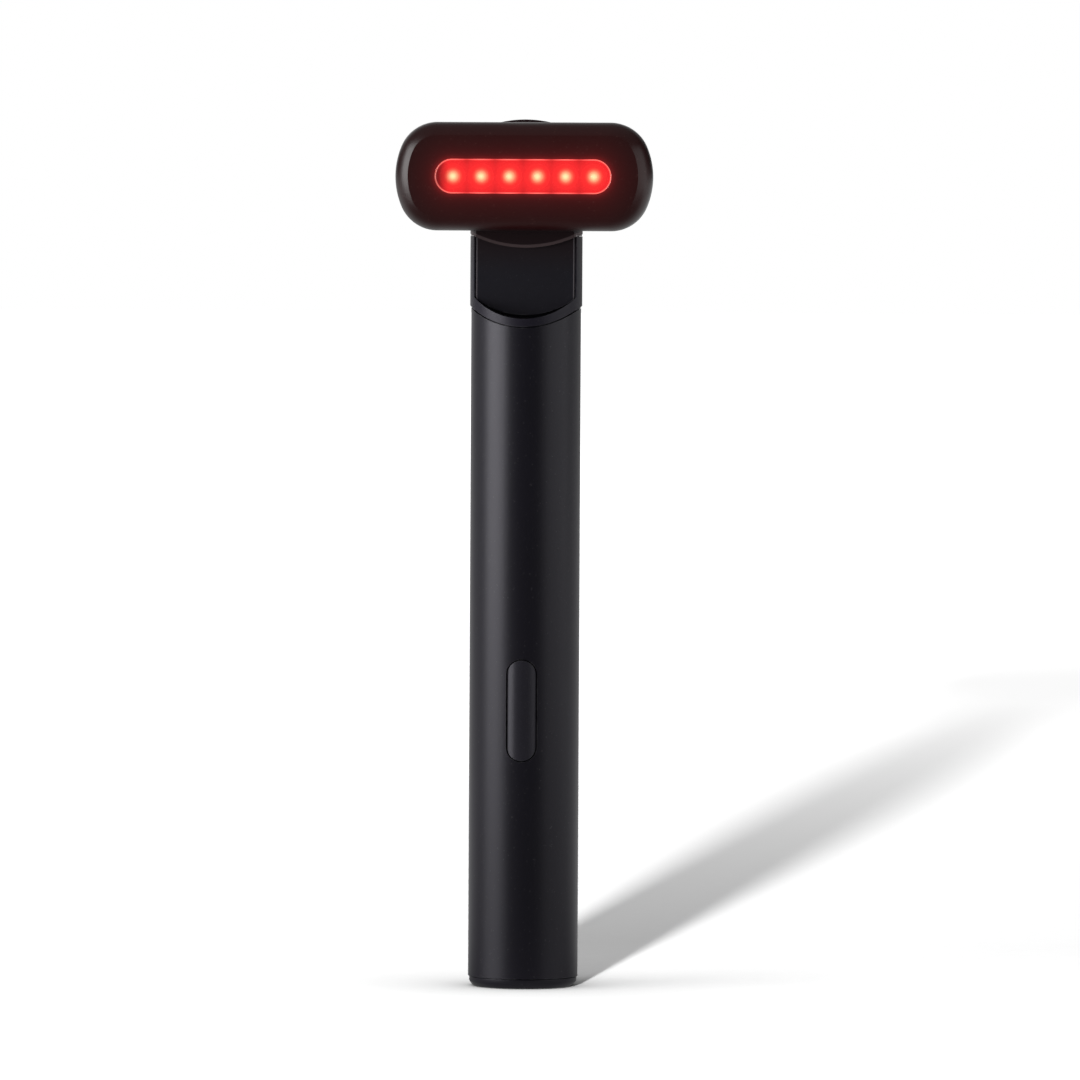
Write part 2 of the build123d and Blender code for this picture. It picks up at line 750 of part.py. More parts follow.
def swivel_shaft():
    """The hollow shaft: a flange inside the head, a journal and a groove for the clip."""
    shaft = axle(shaft_radius, shaft_flange_y, shaft_end_y, z=swivel_z)
    shaft += axle(shaft_radius + shaft_flange_lip, shaft_flange_front_y, shaft_flange_y, z=swivel_z)
    for side in (1, -1):
        flat = sorted((side * (shaft_radius - shaft_flat_depth), side * FAR))
        shaft -= block(flat, (index_front_y, FAR), (0, TOP))
    groove = axle(FAR, clip_front_y, clip_back_y, z=swivel_z)
    shaft -= groove - axle(shaft_radius - shaft_groove_depth, -FAR, FAR, z=swivel_z)
    for x, z in screw_places():
        shaft -= axle(flange_screw_radius + press_gap, -FAR, shaft_flange_y, x=x, z=z)
    return shaft - axle(shaft_bore / 2, -FAR, FAR, z=swivel_z)


def screw_places():
    """Where the three flange screws stand round the shaft."""
    reach = shaft_radius + shaft_flange_lip / 2 + stack_gap
    for step in range(3):
        angle = math.radians(90 + 120 * step)
        yield reach * math.cos(angle), swivel_z + reach * math.sin(angle)


def shaft_screws():
    """The three screws from the shaft's flange into the head's rear shell."""
    screws = []
    for x, z in screw_places():
        shank = axle(flange_screw_radius, shaft_flange_front_y, head_back_y - screw_end_wall,
                     x=x, z=z)
        head = axle(flange_screw_head_radius, shaft_flange_front_y - flange_screw_head,
                    shaft_flange_front_y, x=x, z=z)
        screws.append(shank + head)
    return Compound(screws)


def index_plate():
    """The plate keyed to the shaft, whose lug meets the rib at each end of the swing."""
    plate = axle(index_plate_radius, index_front_y, index_back_y, z=swivel_z)
    half = index_lug_width / 2
    plate += block((-half, half), (index_front_y, index_back_y),
                   (swivel_z - index_plate_radius - index_lug_reach, swivel_z))
    key = axle(shaft_radius + press_gap, -FAR, FAR, z=swivel_z)
    half = shaft_radius - shaft_flat_depth + press_gap
    return plate - (key & block((-half, half), (-FAR, FAR), (0, TOP)))


def retaining_clip():
    """The open spring clip in the shaft's groove."""
    clip = axle(shaft_radius + clip_lip, clip_front_y + clip_slack, clip_back_y - clip_slack,
                z=swivel_z)
    clip -= axle(shaft_radius - shaft_groove_depth + press_gap, -FAR, FAR, z=swivel_z)
    return clip - block((-clip_mouth / 2, clip_mouth / 2), (-FAR, FAR), (swivel_z, TOP))


# ---- treatment head -----------------------------------------------------------------------

def head_rear_shell():
    """The head's rear moulding, with the lip that locates it inside the front shell."""
    seam_y = head_seam_y + seam_gap / 2
    shell = front_prism(bar_outline(), seam_y, head_back_y)
    shell = round_edges(shell, head_back_y, head_back_round)
    shell += front_prism(bar_outline(lip_inset), seam_y - lip_length, seam_y)
    shell -= front_prism(bar_outline(lip_inset + lip_wall), -FAR, head_inner_back_y)
    shell -= axle(shaft_radius + press_gap, -FAR, FAR, z=swivel_z)
    for x, z in screw_places():
        shell -= axle(flange_screw_radius, -FAR, head_back_y - screw_end_wall, x=x, z=z)
    return shell


def head_front_shell():
    """The head's front: the treatment face, its broad rounded rim and the window's opening."""
    seam_y = head_seam_y - seam_gap / 2
    shell = front_prism(bar_outline(), head_front_y, seam_y)
    shell = round_edges(shell, head_front_y, head_rim_round)
    hollow = front_prism(bar_outline(head_wall), head_inner_front_y, seam_y)
    shell -= round_edges(hollow, head_inner_front_y, head_rim_round - head_wall)
    for x in post_places():
        shell += axle(post_radius, head_inner_front_y, led_board_front_y - press_gap, x=x,
                      z=swivel_z)
        shell -= axle(post_screw_radius + press_gap, head_inner_front_y + turning_gap, FAR, x=x,
                      z=swivel_z)
    opening = stadium(window_length + 2 * press_gap, window_height + 2 * press_gap)
    return shell - front_prism(opening, -FAR, 0)


def post_places():
    """The X positions of the posts that the light board is screwed to."""
    return -post_x, post_x


def window_lens():
    """The clear window, flush with the face, with a flange behind it."""
    lens = front_prism(stadium(window_length, window_height), head_front_y + window_sink,
                       lens_flange_front_y)
    lip = 2 * window_flange_lip
    flange = stadium(window_length + lip, window_height + lip)
    return lens + front_prism(flange, lens_flange_front_y,
                              lens_flange_front_y + window_flange_thickness)


def heater_film():
    """The two strips of heating film behind the treatment face, above and below the window."""
    band = window_height + 2 * (window_flange_lip + heater_past_flange)
    strips = bar_outline(heater_inset) - Pos(0, swivel_z) * Rectangle(2 * FAR, band)
    front_y = head_inner_front_y + press_gap
    return front_prism(strips, front_y, front_y + heater_thickness)


def temperature_sensor():
    """The bead thermistor on the heating film."""
    width, depth, height = sensor_size
    front_y = head_inner_front_y + 2 * press_gap + heater_thickness
    low_z = swivel_z + sensor_above_axis - height / 2
    return block((-width / 2, width / 2), (front_y, front_y + depth), (low_z, low_z + height))


def led_places():
    """The X positions of the lights."""
    for index in range(led_count):
        yield (index - (led_count - 1) / 2) * led_pitch


def light_tray():
    """The tray behind the window, with a flared well for each light."""
    back_y = tray_front_y + tray_depth
    outline = stadium(window_length + 2 * tray_lip, window_height + 2 * tray_lip)
    tray = front_prism(outline, tray_front_y, back_y)
    well = Cone(well_back_diameter / 2, well_front_diameter / 2, tray_depth)
    for x in led_places():
        tray -= Pos(x, (tray_front_y + back_y) / 2, swivel_z) * Rot(90, 0, 0) * well
    return tray


def led_board():
    """The board that carries the lights, cut to the head's outline."""
    board = front_prism(bar_outline(led_board_inset), led_board_front_y, led_board_back_y)
    for x in post_places():
        board -= axle(post_screw_radius + slide_gap, -FAR, FAR, x=x, z=swivel_z)
    return board


def leds():
    """The six lights: a square case and a small dome each."""
    lights = []
    half = led_size / 2
    case_front_y = led_board_front_y - led_height
    for x in led_places():
        case = block((x - half, x + half), (case_front_y, led_board_front_y),
                     (swivel_z - half, swivel_z + half))
        dome = Pos(x, case_front_y, swivel_z) * Sphere(led_dome_radius)
        dome -= block((-FAR, FAR), (case_front_y, FAR), (0, TOP))
        lights.append(case + dome)
    return Compound(lights)


def led_board_screws():
    """The two screws that hold the light board to the front shell's posts."""
    screws = []
    for x in post_places():
        shank = axle(post_screw_radius, led_board_front_y - post_screw_length, led_board_back_y,
                     x=x, z=swivel_z)
        head = axle(post_screw_head_radius, led_board_back_y, led_board_back_y + post_screw_head,
                    x=x, z=swivel_z)
        screws.append(shank + head)
    return Compound(screws)


# ---- leads --------------------------------------------------------------------------------

def head_leads():
    """The lead bundle from the light board through the hollow shaft."""
    return axle(head_lead_radius, led_board_back_y + stack_gap, head_leads_end_y, z=swivel_z)


def handle_leads():
    """The lead bundle from the board's top edge, past the motor, to the end of the shaft."""
    start_y = board_back_y + lead_from_board
    rise_z = board_high_z + lead_rise
    route = FilletPolyline(
        (0, start_y, board_high_z + lead_start), (0, start_y, rise_z),
        (0, lead_y, rise_z + lead_crossing), (0, lead_y, swivel_z),
        (0, head_leads_end_y + lead_end_gap, swivel_z), radius=lead_bend)
    section = Plane(origin=route @ 0, z_dir=route % 0) * Circle(lead_radius)
    return sweep(section, path=route)


NODES = (
    handle_tube, foot_cap, foot_seal, charging_socket, socket_tongue, charge_board,
    inner_chassis, main_board, board_components, board_screw, battery_cell, battery_tabs,
    switch_body, button_guide, button_cap, switch_plunger,
    vibration_motor, motor_shaft, eccentric_weight, motor_sleeve,
    neck_frame, neck_seal, neck_panel, swivel_housing, housing_cover, friction_washer,
    swivel_shaft, shaft_screws, index_plate, retaining_clip,
    head_rear_shell, head_front_shell, window_lens, heater_film, temperature_sensor,
    light_tray, led_board, leds, led_board_screws, head_leads, handle_leads,
)

os.makedirs("parts", exist_ok=True)
for node in NODES:
    export_step(node(), f"parts/{node.__name__}.step")
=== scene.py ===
"""A heated massage wand: a slim anodised handle with a long button, and a bar-shaped lit head."""
import json
import math

import bpy
from bpy.props import FloatProperty, FloatVectorProperty, IntProperty, PointerProperty
from mathutils import Matrix, Vector

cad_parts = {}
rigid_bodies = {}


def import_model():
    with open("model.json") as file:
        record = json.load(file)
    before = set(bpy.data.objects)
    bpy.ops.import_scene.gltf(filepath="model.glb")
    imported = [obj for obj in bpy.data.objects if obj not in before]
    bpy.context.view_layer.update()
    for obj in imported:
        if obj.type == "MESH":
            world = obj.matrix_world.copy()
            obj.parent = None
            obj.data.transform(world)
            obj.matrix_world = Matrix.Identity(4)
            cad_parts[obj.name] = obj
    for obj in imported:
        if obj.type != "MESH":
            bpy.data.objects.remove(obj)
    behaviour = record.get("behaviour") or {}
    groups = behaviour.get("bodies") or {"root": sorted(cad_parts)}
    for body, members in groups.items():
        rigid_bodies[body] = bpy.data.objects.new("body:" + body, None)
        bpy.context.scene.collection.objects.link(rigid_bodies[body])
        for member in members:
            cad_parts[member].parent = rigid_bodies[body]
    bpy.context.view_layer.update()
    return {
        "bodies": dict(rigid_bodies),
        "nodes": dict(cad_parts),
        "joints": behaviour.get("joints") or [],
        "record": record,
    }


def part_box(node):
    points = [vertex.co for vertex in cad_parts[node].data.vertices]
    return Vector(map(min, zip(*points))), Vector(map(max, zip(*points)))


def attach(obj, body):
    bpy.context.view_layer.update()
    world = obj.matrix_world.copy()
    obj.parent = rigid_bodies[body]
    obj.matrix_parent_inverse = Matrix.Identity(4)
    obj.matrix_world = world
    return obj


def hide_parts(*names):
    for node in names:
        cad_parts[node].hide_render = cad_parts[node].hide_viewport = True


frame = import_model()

bl_info = {
    "name": "Massage Wand",
    "version": (1, 0, 0),
    "blender": (4, 5, 0),
    "location": "View3D > Sidebar > Wand",
    "description": "Builds the wand's visible pieces, their finishes and a plain studio",
    "category": "Add Mesh",
}

MM = 0.001
REACH = 0.1                   # past any face, for cutting tools
ROUND_STEPS = 192             # sides of a large round
SEAM = 0.15 * MM              # visible gap between fixed pieces
SLIDE_GAP = 0.2 * MM          # round the button
TUBE_WALL = 1.2 * MM
TUBE_SCOOP = 15.4 * MM        # radius of the tube's scooped top
FOOT_INSET = 0.2 * MM
SOCKET_OPENING = (9.24 * MM, 3.56 * MM)       # in the foot
FLANGE_LIP = 0.7 * MM         # of the button, all round
BUTTON_CROWN = 4.4 * MM       # radius of the button's crown
RING_HEIGHT = 1.5 * MM        # of the neck's ring, over the tube's scoop
RECESS_RADIUS = 12.65 * MM    # of the neck's recess
RECESS_FACE = -4.0 * MM       # how far forward the recess's flat wall is
POCKET_HALF = 8.89 * MM       # half the width of the inlay's pocket
NECK_ARC = 19.65 * MM         # radius of the neck's end, under the housing
HEAD_WALL = 1.2 * MM
HEAD_END = 13.7 * MM          # radius of the head's bowed ends
HEAD_CORNER = 6.9 * MM        # and of its corners
RIM_SLOPE = 25.0              # slope of the head's rim where it meets the face, in degrees
RIM_RADIUS = 4.15 * MM
LIP_DROP = 0.35 * MM          # how far the housing's lip hangs below its face
LIP_RADIUS = 21.4 * MM


# ---- sizes read from the frame ------------------------------------------------------------

tube_low, tube_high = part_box("handle_tube")
foot_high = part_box("foot_cap")[1]
button_low, button_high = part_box("button_cap")
neck_low, neck_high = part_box("neck_frame")
panel_low, panel_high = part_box("neck_panel")
housing_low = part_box("swivel_housing")[0]
front_low, front_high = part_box("head_front_shell")
rear_low, rear_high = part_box("head_rear_shell")
lens_low, lens_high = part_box("window_lens")
light_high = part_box("leds")[1]

swivel_z = (front_low.z + front_high.z) / 2
button_z = (button_low.z + button_high.z) / 2
housing_face_z = swivel_z - 12.2 * MM         # the lowest point of the housing's arc
tube_radius = tube_high.x
neck_radius = neck_high.x
scoop_z = tube_high.z + math.sqrt(TUBE_SCOOP ** 2 - tube_radius ** 2)   # middle of the scoop
tube_top_z = scoop_z - TUBE_SCOOP             # the lowest point of the tube's top
ring_z = tube_top_z + RING_HEIGHT             # the lowest point of the neck's recess


# ---- settings a user would change ---------------------------------------------------------

def length(name, description, millimetres):
    """A length setting, given in millimetres and held in metres."""
    return FloatProperty(name=name, description=description, default=millimetres * MM,
                         min=0.0, precision=5, unit="LENGTH")


def colour(name, description, red, green, blue):
    """A colour setting."""
    return FloatVectorProperty(name=name, description=description, subtype="COLOR",
                               default=(red, green, blue), min=0.0, max=1.0)


class WandSizes(bpy.types.PropertyGroup):
    """Sizes of the forms that the frame's boxes don't give."""
    led_pitch: length("Light pitch", "Distance from one light's middle to the next", 4.97)
    led_count: IntProperty(name="Lights", description="How many lights the window has",
                           default=6, min=1)
    window_length: length("Window length", "Length of the lit window", 31.05)
    window_height: length("Window height", "Height of the lit window", 6.0)
    button_length: length("Button length", "Length of the button's cap", 17.8)
    button_width: length("Button width", "Width of the button's cap", 5.1)


class WandFinish(bpy.types.PropertyGroup):
    """Colours of the finishes."""
    tube: colour("Tube", "Dyed anodised tube", 0.0042, 0.0034, 0.0078)
    neck: colour("Neck", "Textured neck mouldings", 0.0090, 0.0073, 0.0150)
    panel: colour("Panel", "Flat inlay under the head", 0.0078, 0.0070, 0.0122)
    head: colour("Head", "Treatment head", 0.0070, 0.0020, 0.0020)
    button: colour("Button", "Push button", 0.0150, 0.0140, 0.0205)
    glow: colour("Glow", "Light of the window", 1.0, 0.035, 0.04)


class WandStudio(bpy.types.PropertyGroup):
    """The plain studio round the wand."""
    left: FloatProperty(name="Left softbox", description="Radiance of the left softbox",
                        default=3.85, min=0.0)
    right: FloatProperty(name="Right softbox", description="Radiance of the right softbox",
                         default=0.64, min=0.0)
    ambient: FloatProperty(name="Ambient", description="Level of the light all round",
                           default=0.35, min=0.0)


class WandSettings(bpy.types.PropertyGroup):
    """All the wand's settings."""
    sizes: PointerProperty(type=WandSizes)
    finish: PointerProperty(type=WandFinish)
    studio: PointerProperty(type=WandStudio)


# ---- node trees ---------------------------------------------------------------------------

class Nodes:
    """Adds nodes to a tree, with inputs that are values or other nodes' sockets."""

    def __init__(self, tree):
        self.tree = tree

    def add(self, kind, inputs=None, **settings):
        """Adds one node and returns it."""
        made = self.tree.nodes.new(kind)
        for name, value in settings.items():
            setattr(made, name, value)
        for name, value in (inputs or {}).items():
            socket = made.inputs[name]
            if isinstance(value, bpy.types.NodeSocket):
                self.tree.links.new(value, socket)
            else:
                socket.default_value = value
        return made

    def math(self, operation, first, second=0.0, third=0.0):
        """The result of a Math node."""
        inputs = {0: first, 1: second, 2: third}
        return self.add("ShaderNodeMath", inputs, operation=operation).outputs[0]

    def mix(self, share, first, second):
        """A mix of two colours."""
        made = self.add("ShaderNodeMix", {0: share, 6: first, 7: second}, data_type="RGBA")
        return made.outputs[2]

    def ramp(self, value, low, high, out_low=0.0, out_high=1.0, smooth=True):
        """A value carried from one range to another, and kept inside it."""
        kind = "SMOOTHSTEP" if smooth else "LINEAR"
        inputs = {0: value, 1: low, 2: high, 3: out_low, 4: out_high}
        return self.add("ShaderNodeMapRange", inputs, interpolation_type=kind).outputs[0]

    def place(self):
        """The place on the piece, in metres."""
        return self.add("ShaderNodeTexCoord").outputs["Object"]

    def axes(self):
        """The place on the piece, as X, Y and Z."""
        return self.add("ShaderNodeSeparateXYZ", {0: self.place()}).outputs

    def slant(self, first, second):
        """The distance across two lengths at right angles."""
        both = self.add("ShaderNodeCombineXYZ", {0: first, 1: second}).outputs[0]
        return self.add("ShaderNodeVectorMath", {0: both}, operation="LENGTH").outputs["Value"]

    def noise(self, scale, detail=2.0, roughness=0.5, vector=None):
        """Soft random values, so many to the metre."""
        inputs = {"Scale": scale, "Detail": detail, "Roughness": roughness,
                  "Vector": vector or self.place()}
        return self.add("ShaderNodeTexNoise", inputs).outputs["Fac"]

    def cells(self, scale, output="Distance", vector=None):
        """Random cells, so many to the metre."""
        inputs = {"Scale": scale, "Vector": vector or self.place()}
        return self.add("ShaderNodeTexVoronoi", inputs).outputs[output]


def new_group(name, inputs, outputs):
    """A shader node group with its sockets, and a Nodes maker for it."""
    tree = bpy.data.node_groups.new(name, "ShaderNodeTree")
    for socket, kind, value in inputs:
        made = tree.interface.new_socket(socket, in_out="INPUT", socket_type=kind)
        made.default_value = value
    for socket, kind in outputs:
        tree.interface.new_socket(socket, in_out="OUTPUT", socket_type=kind)
    nodes = Nodes(tree)
    return nodes, nodes.add("NodeGroupInput").outputs, nodes.add("NodeGroupOutput").inputs


def link(nodes, source, target):
    """Joins two sockets."""
    nodes.tree.links.new(source, target)


FLOAT = "NodeSocketFloat"


def edge_wear_group():
    """Where edges are rubbed bright: a mask along edges, broken up by noise."""
    nodes, given, made = new_group(
        "edge_wear", [("Width", FLOAT, 0.2 * MM), ("Amount", FLOAT, 0.5)], [("Mask", FLOAT)])
    rounded = nodes.add("ShaderNodeBevel", {"Radius": given["Width"]}, samples=6).outputs[0]
    normal = nodes.add("ShaderNodeNewGeometry").outputs["Normal"]
    along = nodes.add("ShaderNodeVectorMath", {0: rounded, 1: normal}, operation="DOT_PRODUCT")
    edge = nodes.ramp(along.outputs["Value"], 0.995, 0.90)
    broken = nodes.ramp(nodes.noise(900.0, 4.0), 0.35, 0.70)
    mask = nodes.math("MULTIPLY", edge, nodes.math("MULTIPLY", broken, given["Amount"]))
    link(nodes, mask, made["Mask"])


def grain_group():
    """A fine moulded or blasted grain, with a coarser undulation under it."""
    nodes, given, made = new_group(
        "grain", [("Scale", FLOAT, 6000.0), ("Coarse", FLOAT, 0.3)],
        [("Height", FLOAT), ("Tone", FLOAT)])
    fine = nodes.noise(given["Scale"], 3.0, 0.6)
    coarse = nodes.noise(nodes.math("MULTIPLY", given["Scale"], 0.17), 2.0)
    height = nodes.math("MULTIPLY_ADD", coarse, given["Coarse"], fine)
    link(nodes, height, made["Height"])
    link(nodes, nodes.ramp(fine, 0.30, 0.70), made["Tone"])


def handling_group():
    """Faint smears and dust from handling: a change of roughness and a dust mask."""
    nodes, given, made = new_group(
        "handling", [("Roughness", FLOAT, 0.4), ("Spread", FLOAT, 0.05)],
        [("Roughness", FLOAT), ("Dust", FLOAT)])
    stretched = nodes.add("ShaderNodeMapping", {"Vector": nodes.place(), "Scale": (1, 1, 0.35)})
    smear = nodes.noise(160.0, 5.0, 0.62, stretched.outputs[0])
    offset = nodes.math("SUBTRACT", smear, 0.5)
    rough = nodes.math("MULTIPLY_ADD", offset, given["Spread"], given["Roughness"])
    link(nodes, rough, made["Roughness"])
    speck = nodes.cells(1400.0)
    near = nodes.ramp(speck, 0.10, 0.04)
    rare = nodes.ramp(nodes.noise(420.0, 1.0), 0.62, 0.72)
    link(nodes, nodes.math("MULTIPLY", near, rare), made["Dust"])


def window_group():
    """How far a place is from the window's edge, and from the nearest light's middle."""
    sizes = bpy.context.scene.wand.sizes
    nodes, _, made = new_group("window", [], [("Edge", FLOAT), ("Light", FLOAT)])
    place = nodes.axes()
    across = nodes.math("ABSOLUTE", place["X"])
    up = nodes.math("SUBTRACT", place["Z"], swivel_z)
    reach = (sizes.window_length - sizes.window_height) / 2
    past = nodes.math("MAXIMUM", nodes.math("SUBTRACT", across, reach), 0.0)
    edge = nodes.math("SUBTRACT", nodes.slant(past, up), sizes.window_height / 2)
    link(nodes, edge, made["Edge"])
    half = sizes.led_count / 2
    step = nodes.math("FLOOR", nodes.math("DIVIDE", place["X"], sizes.led_pitch))
    kept = nodes.math("MINIMUM", nodes.math("MAXIMUM", step, -half), half - 1)
    middle = nodes.math("MULTIPLY", nodes.math("ADD", kept, 0.5), sizes.led_pitch)
    aside = nodes.math("SUBTRACT", place["X"], middle)
    link(nodes, nodes.slant(aside, up), made["Light"])


def shared(nodes, name, **inputs):
    """Places a shared group in a material."""
    made = nodes.add("ShaderNodeGroup", node_tree=bpy.data.node_groups[name])
    for socket, value in inputs.items():
        made.inputs[socket].default_value = value
    return made.outputs


# ---- finishes -----------------------------------------------------------------------------

def new_finish(name, **settings):
    """A material with a Principled shader, whose plain settings are given by socket name."""
    made = bpy.data.materials.new(name)
    made.use_nodes = True
    nodes = Nodes(made.node_tree)
    shader = made.node_tree.nodes["Principled BSDF"]
    for socket, value in settings.items():
        shader.inputs[socket.replace("_", " ")].default_value = value
    return nodes, shader.inputs


def cover(nodes, shader, tone, roughness, height, depth):
    """Gives a shader its colour and roughness, and a bump of a height and depth."""
    link(nodes, tone, shader["Base Color"])
    link(nodes, roughness, shader["Roughness"])
    bump = nodes.add("ShaderNodeBump", {"Height": height, "Strength": 1.0, "Distance": depth})
    link(nodes, bump.outputs[0], shader["Normal"])


def rgba(value, factor=1.0):
    """A colour with its fourth value, made lighter or darker by a factor."""
    return (*(channel * factor for channel in value), 1.0)


def black_finish(name, base, roughness, grain, depth, coarse=0.3, wear=0.5, spread=0.05, ior=1.5,
                 painted_red_glow=0.0):
    """A dark finish with grain, rubbed edges and handling marks, and, by the given amount, a
    painted red glow near the head where the head's red light falls.
    """
    nodes, shader = new_finish(name, IOR=ior, Specular_Tint=(0.94, 0.92, 1.0, 1.0))
    texture = shared(nodes, "grain", Scale=grain, Coarse=coarse)
    marks = shared(nodes, "handling", Roughness=roughness, Spread=spread)
    worn = shared(nodes, "edge_wear", Width=0.18 * MM, Amount=wear)
    tone = nodes.mix(texture["Tone"], rgba(base, 0.72), rgba(base, 1.30))
    cloud = nodes.ramp(nodes.noise(55.0, 3.0), 0.3, 0.7)
    tone = nodes.mix(nodes.math("MULTIPLY", cloud, 0.25), tone, rgba(base, 1.7))
    fleck = nodes.ramp(nodes.cells(5200.0, "Color"), 0.88, 0.97, 0.0, 0.6)
    tone = nodes.mix(fleck, tone, rgba((0.050, 0.048, 0.053)))
    tone = nodes.mix(worn["Mask"], tone, rgba((0.09, 0.09, 0.095)))
    tone = nodes.mix(nodes.math("MULTIPLY", marks["Dust"], 0.35), tone, rgba((0.11, 0.11, 0.11)))
    # painted red glow: dark red mixed into the colour towards the head, standing in for the head's
    # red light falling on it
    if painted_red_glow:
        height = nodes.axes()["Z"]
        near = nodes.ramp(height, swivel_z - 18.0 * MM, swivel_z - 10.5 * MM, 0.0, painted_red_glow)
        tone = nodes.mix(near, tone, rgba((0.019, 0.0045, 0.0045)))
    cover(nodes, shader, tone, marks["Roughness"], texture["Height"], depth)
    return nodes, shader, tone


def inlay_finish(base):
    """The neck's flat inlay, with painted highlights along its long edges and a painted red glow
    near the head.
    """
    nodes, shader, tone = black_finish("inlay", base, 0.50, 7000.0, 0.004 * MM, 0.3, 0.9, painted_red_glow=0.7)
    # painted highlight: the long edges are made paler, standing in for light caught by their
    # bevels
    across = nodes.math("ABSOLUTE", nodes.axes()["X"])
    edge = nodes.ramp(across, panel_high.x - 0.26 * MM, panel_high.x - 0.12 * MM, 0.0, 0.8)
    link(nodes, nodes.mix(edge, tone, rgba((0.130, 0.115, 0.125))), shader["Base Color"])


def housing_finish(base):
    """The neck's black, with a painted highlight along the lip at the housing's lower end, and a
    painted red glow near the head.
    """
    nodes, shader, tone = black_finish("housing_plastic", base, 0.42, 5200.0, 0.010 * MM, 0.5, 0.5,
                                       painted_red_glow=0.9)
    # painted highlight: a pale reddish band on the lip's edge, standing in for light caught by its
    # chamfer
    place = nodes.axes()
    up = nodes.math("SUBTRACT", place["Z"], housing_face_z - LIP_DROP + LIP_RADIUS)
    lip = nodes.ramp(nodes.slant(place["X"], up), LIP_RADIUS - 0.56 * MM, LIP_RADIUS - 0.48 * MM)
    link(nodes, nodes.mix(lip, tone, rgba((0.080, 0.052, 0.053))), shader["Base Color"])


def head_finish(base, glow):
    """The head's black plastic, with fine bright flakes, and a painted red glow round the window:
    emission on the plastic standing in for the window's light spreading onto it.
    """
    nodes, shader = new_finish("head_plastic", IOR=1.62, Emission_Strength=1.0)
    texture = shared(nodes, "grain", Scale=5200.0, Coarse=0.2)
    marks = shared(nodes, "handling", Roughness=0.34, Spread=0.06)
    window = shared(nodes, "window")
    tone = nodes.mix(texture["Tone"], rgba(base, 0.75), rgba(base, 1.25))
    flake = nodes.ramp(nodes.cells(5200.0, "Color"), 0.88, 0.97)
    tone = nodes.mix(nodes.math("MULTIPLY", flake, 0.55), tone, rgba((0.075, 0.035, 0.030)))
    cover(nodes, shader, tone, marks["Roughness"], texture["Height"], 0.009 * MM)
    # painted glow: emission fading with distance from the window's edge, stronger beside each
    # light, on the front face only
    far = nodes.math("MAXIMUM", window["Edge"], 0.0)
    close = nodes.math("EXPONENT", nodes.math("DIVIDE", far, -0.6 * MM))
    wide = nodes.math("EXPONENT", nodes.math("DIVIDE", far, -4.0 * MM))
    beside = nodes.ramp(window["Light"], 3.0 * MM, 4.4 * MM, 0.14, 0.08)
    painted_window_glow = nodes.math("MULTIPLY_ADD", wide, 0.048, nodes.math("MULTIPLY", close, beside))
    face = nodes.ramp(nodes.axes()["Y"], -13.2 * MM, -10.5 * MM, 1.0, 0.0)
    painted_window_glow = nodes.math("MULTIPLY", painted_window_glow, face)
    lit = nodes.mix(painted_window_glow, rgba((0, 0, 0)), rgba(glow))
    link(nodes, lit, shader["Emission Color"])


def lamp_pattern(nodes, glow):
    """The glow behind the window: red all over, orange round each light, dimmer at the ends; on
    the lights it is their own light, on the tray and board it is a painted glow with painted pools
    of light round each light.
    """
    window = shared(nodes, "window")
    near = nodes.math("POWER", nodes.math("DIVIDE", window["Light"], 0.80 * MM), 2.0)
    halo = nodes.math("EXPONENT", nodes.math("MULTIPLY", near, -1.0))
    body = nodes.ramp(window["Light"], 2.4 * MM, 4.2 * MM, 1.0, 0.62)
    start = nodes.ramp(nodes.axes()["X"], -15.4 * MM, -13.0 * MM, 0.12, 1.0)
    red = nodes.mix(nodes.math("MULTIPLY", body, start), rgba((0.06, 0.010, 0.012)), rgba(glow))
    return nodes.mix(halo, red, rgba((1.35, 1.30, 0.66)))


def tray_finish(glow):
    """The white tray and board face behind the window, with a painted red glow: emission and a
    dark red colour stand in for the lights' red light falling on them.
    """
    nodes, shader = new_finish("lit_tray", Emission_Strength=1.0, Roughness=0.6,
                               Specular_IOR_Level=0.1)
    # painted glow: the tray emits the lights' pattern, and its white is coloured dark red,
    # standing in for the red light on it
    link(nodes, lamp_pattern(nodes, glow), shader["Emission Color"])
    tone = nodes.mix(nodes.noise(2500.0), rgba((0.10, 0.012, 0.012)), rgba((0.14, 0.018, 0.018)))
    link(nodes, tone, shader["Base Color"])


def light_finish(glow):
    """A lit light: a pale yellow dome."""
    nodes, shader = new_finish("light", Emission_Strength=1.0, Roughness=0.3)
    link(nodes, lamp_pattern(nodes, glow), shader["Emission Color"])
    tone = nodes.mix(nodes.noise(4000.0), rgba((0.10, 0.03, 0.02)), rgba((0.14, 0.05, 0.03)))
    link(nodes, tone, shader["Base Color"])


def lens_finish():
    """The clear red window, polished, with fine scratches and a painted glint: emission along its
    edge, brighter near each light.
    """
    nodes, shader = new_finish("window_clear", IOR=1.49, Transmission_Weight=1.0,
                               Emission_Strength=1.0)
    window = shared(nodes, "window")
    scratch = nodes.noise(2600.0, 4.0)
    tone = nodes.mix(scratch, rgba((0.96, 0.70, 0.70)), rgba((1.0, 0.80, 0.80)))
    # painted glint: emission along the window's edge, standing in for light caught by its bevel
    painted_edge_glint = nodes.math("MULTIPLY", nodes.ramp(window["Edge"], -0.20 * MM, -0.12 * MM),
                         nodes.ramp(window["Light"], 2.6 * MM, 3.9 * MM, 1.0, 0.25))
    link(nodes, nodes.mix(painted_edge_glint, rgba((0, 0, 0)), rgba((0.50, 0.14, 0.12))),
         shader["Emission Color"])
    link(nodes, tone, shader["Base Color"])
    link(nodes, nodes.ramp(scratch, 0.3, 0.8, 0.03, 0.09), shader["Roughness"])


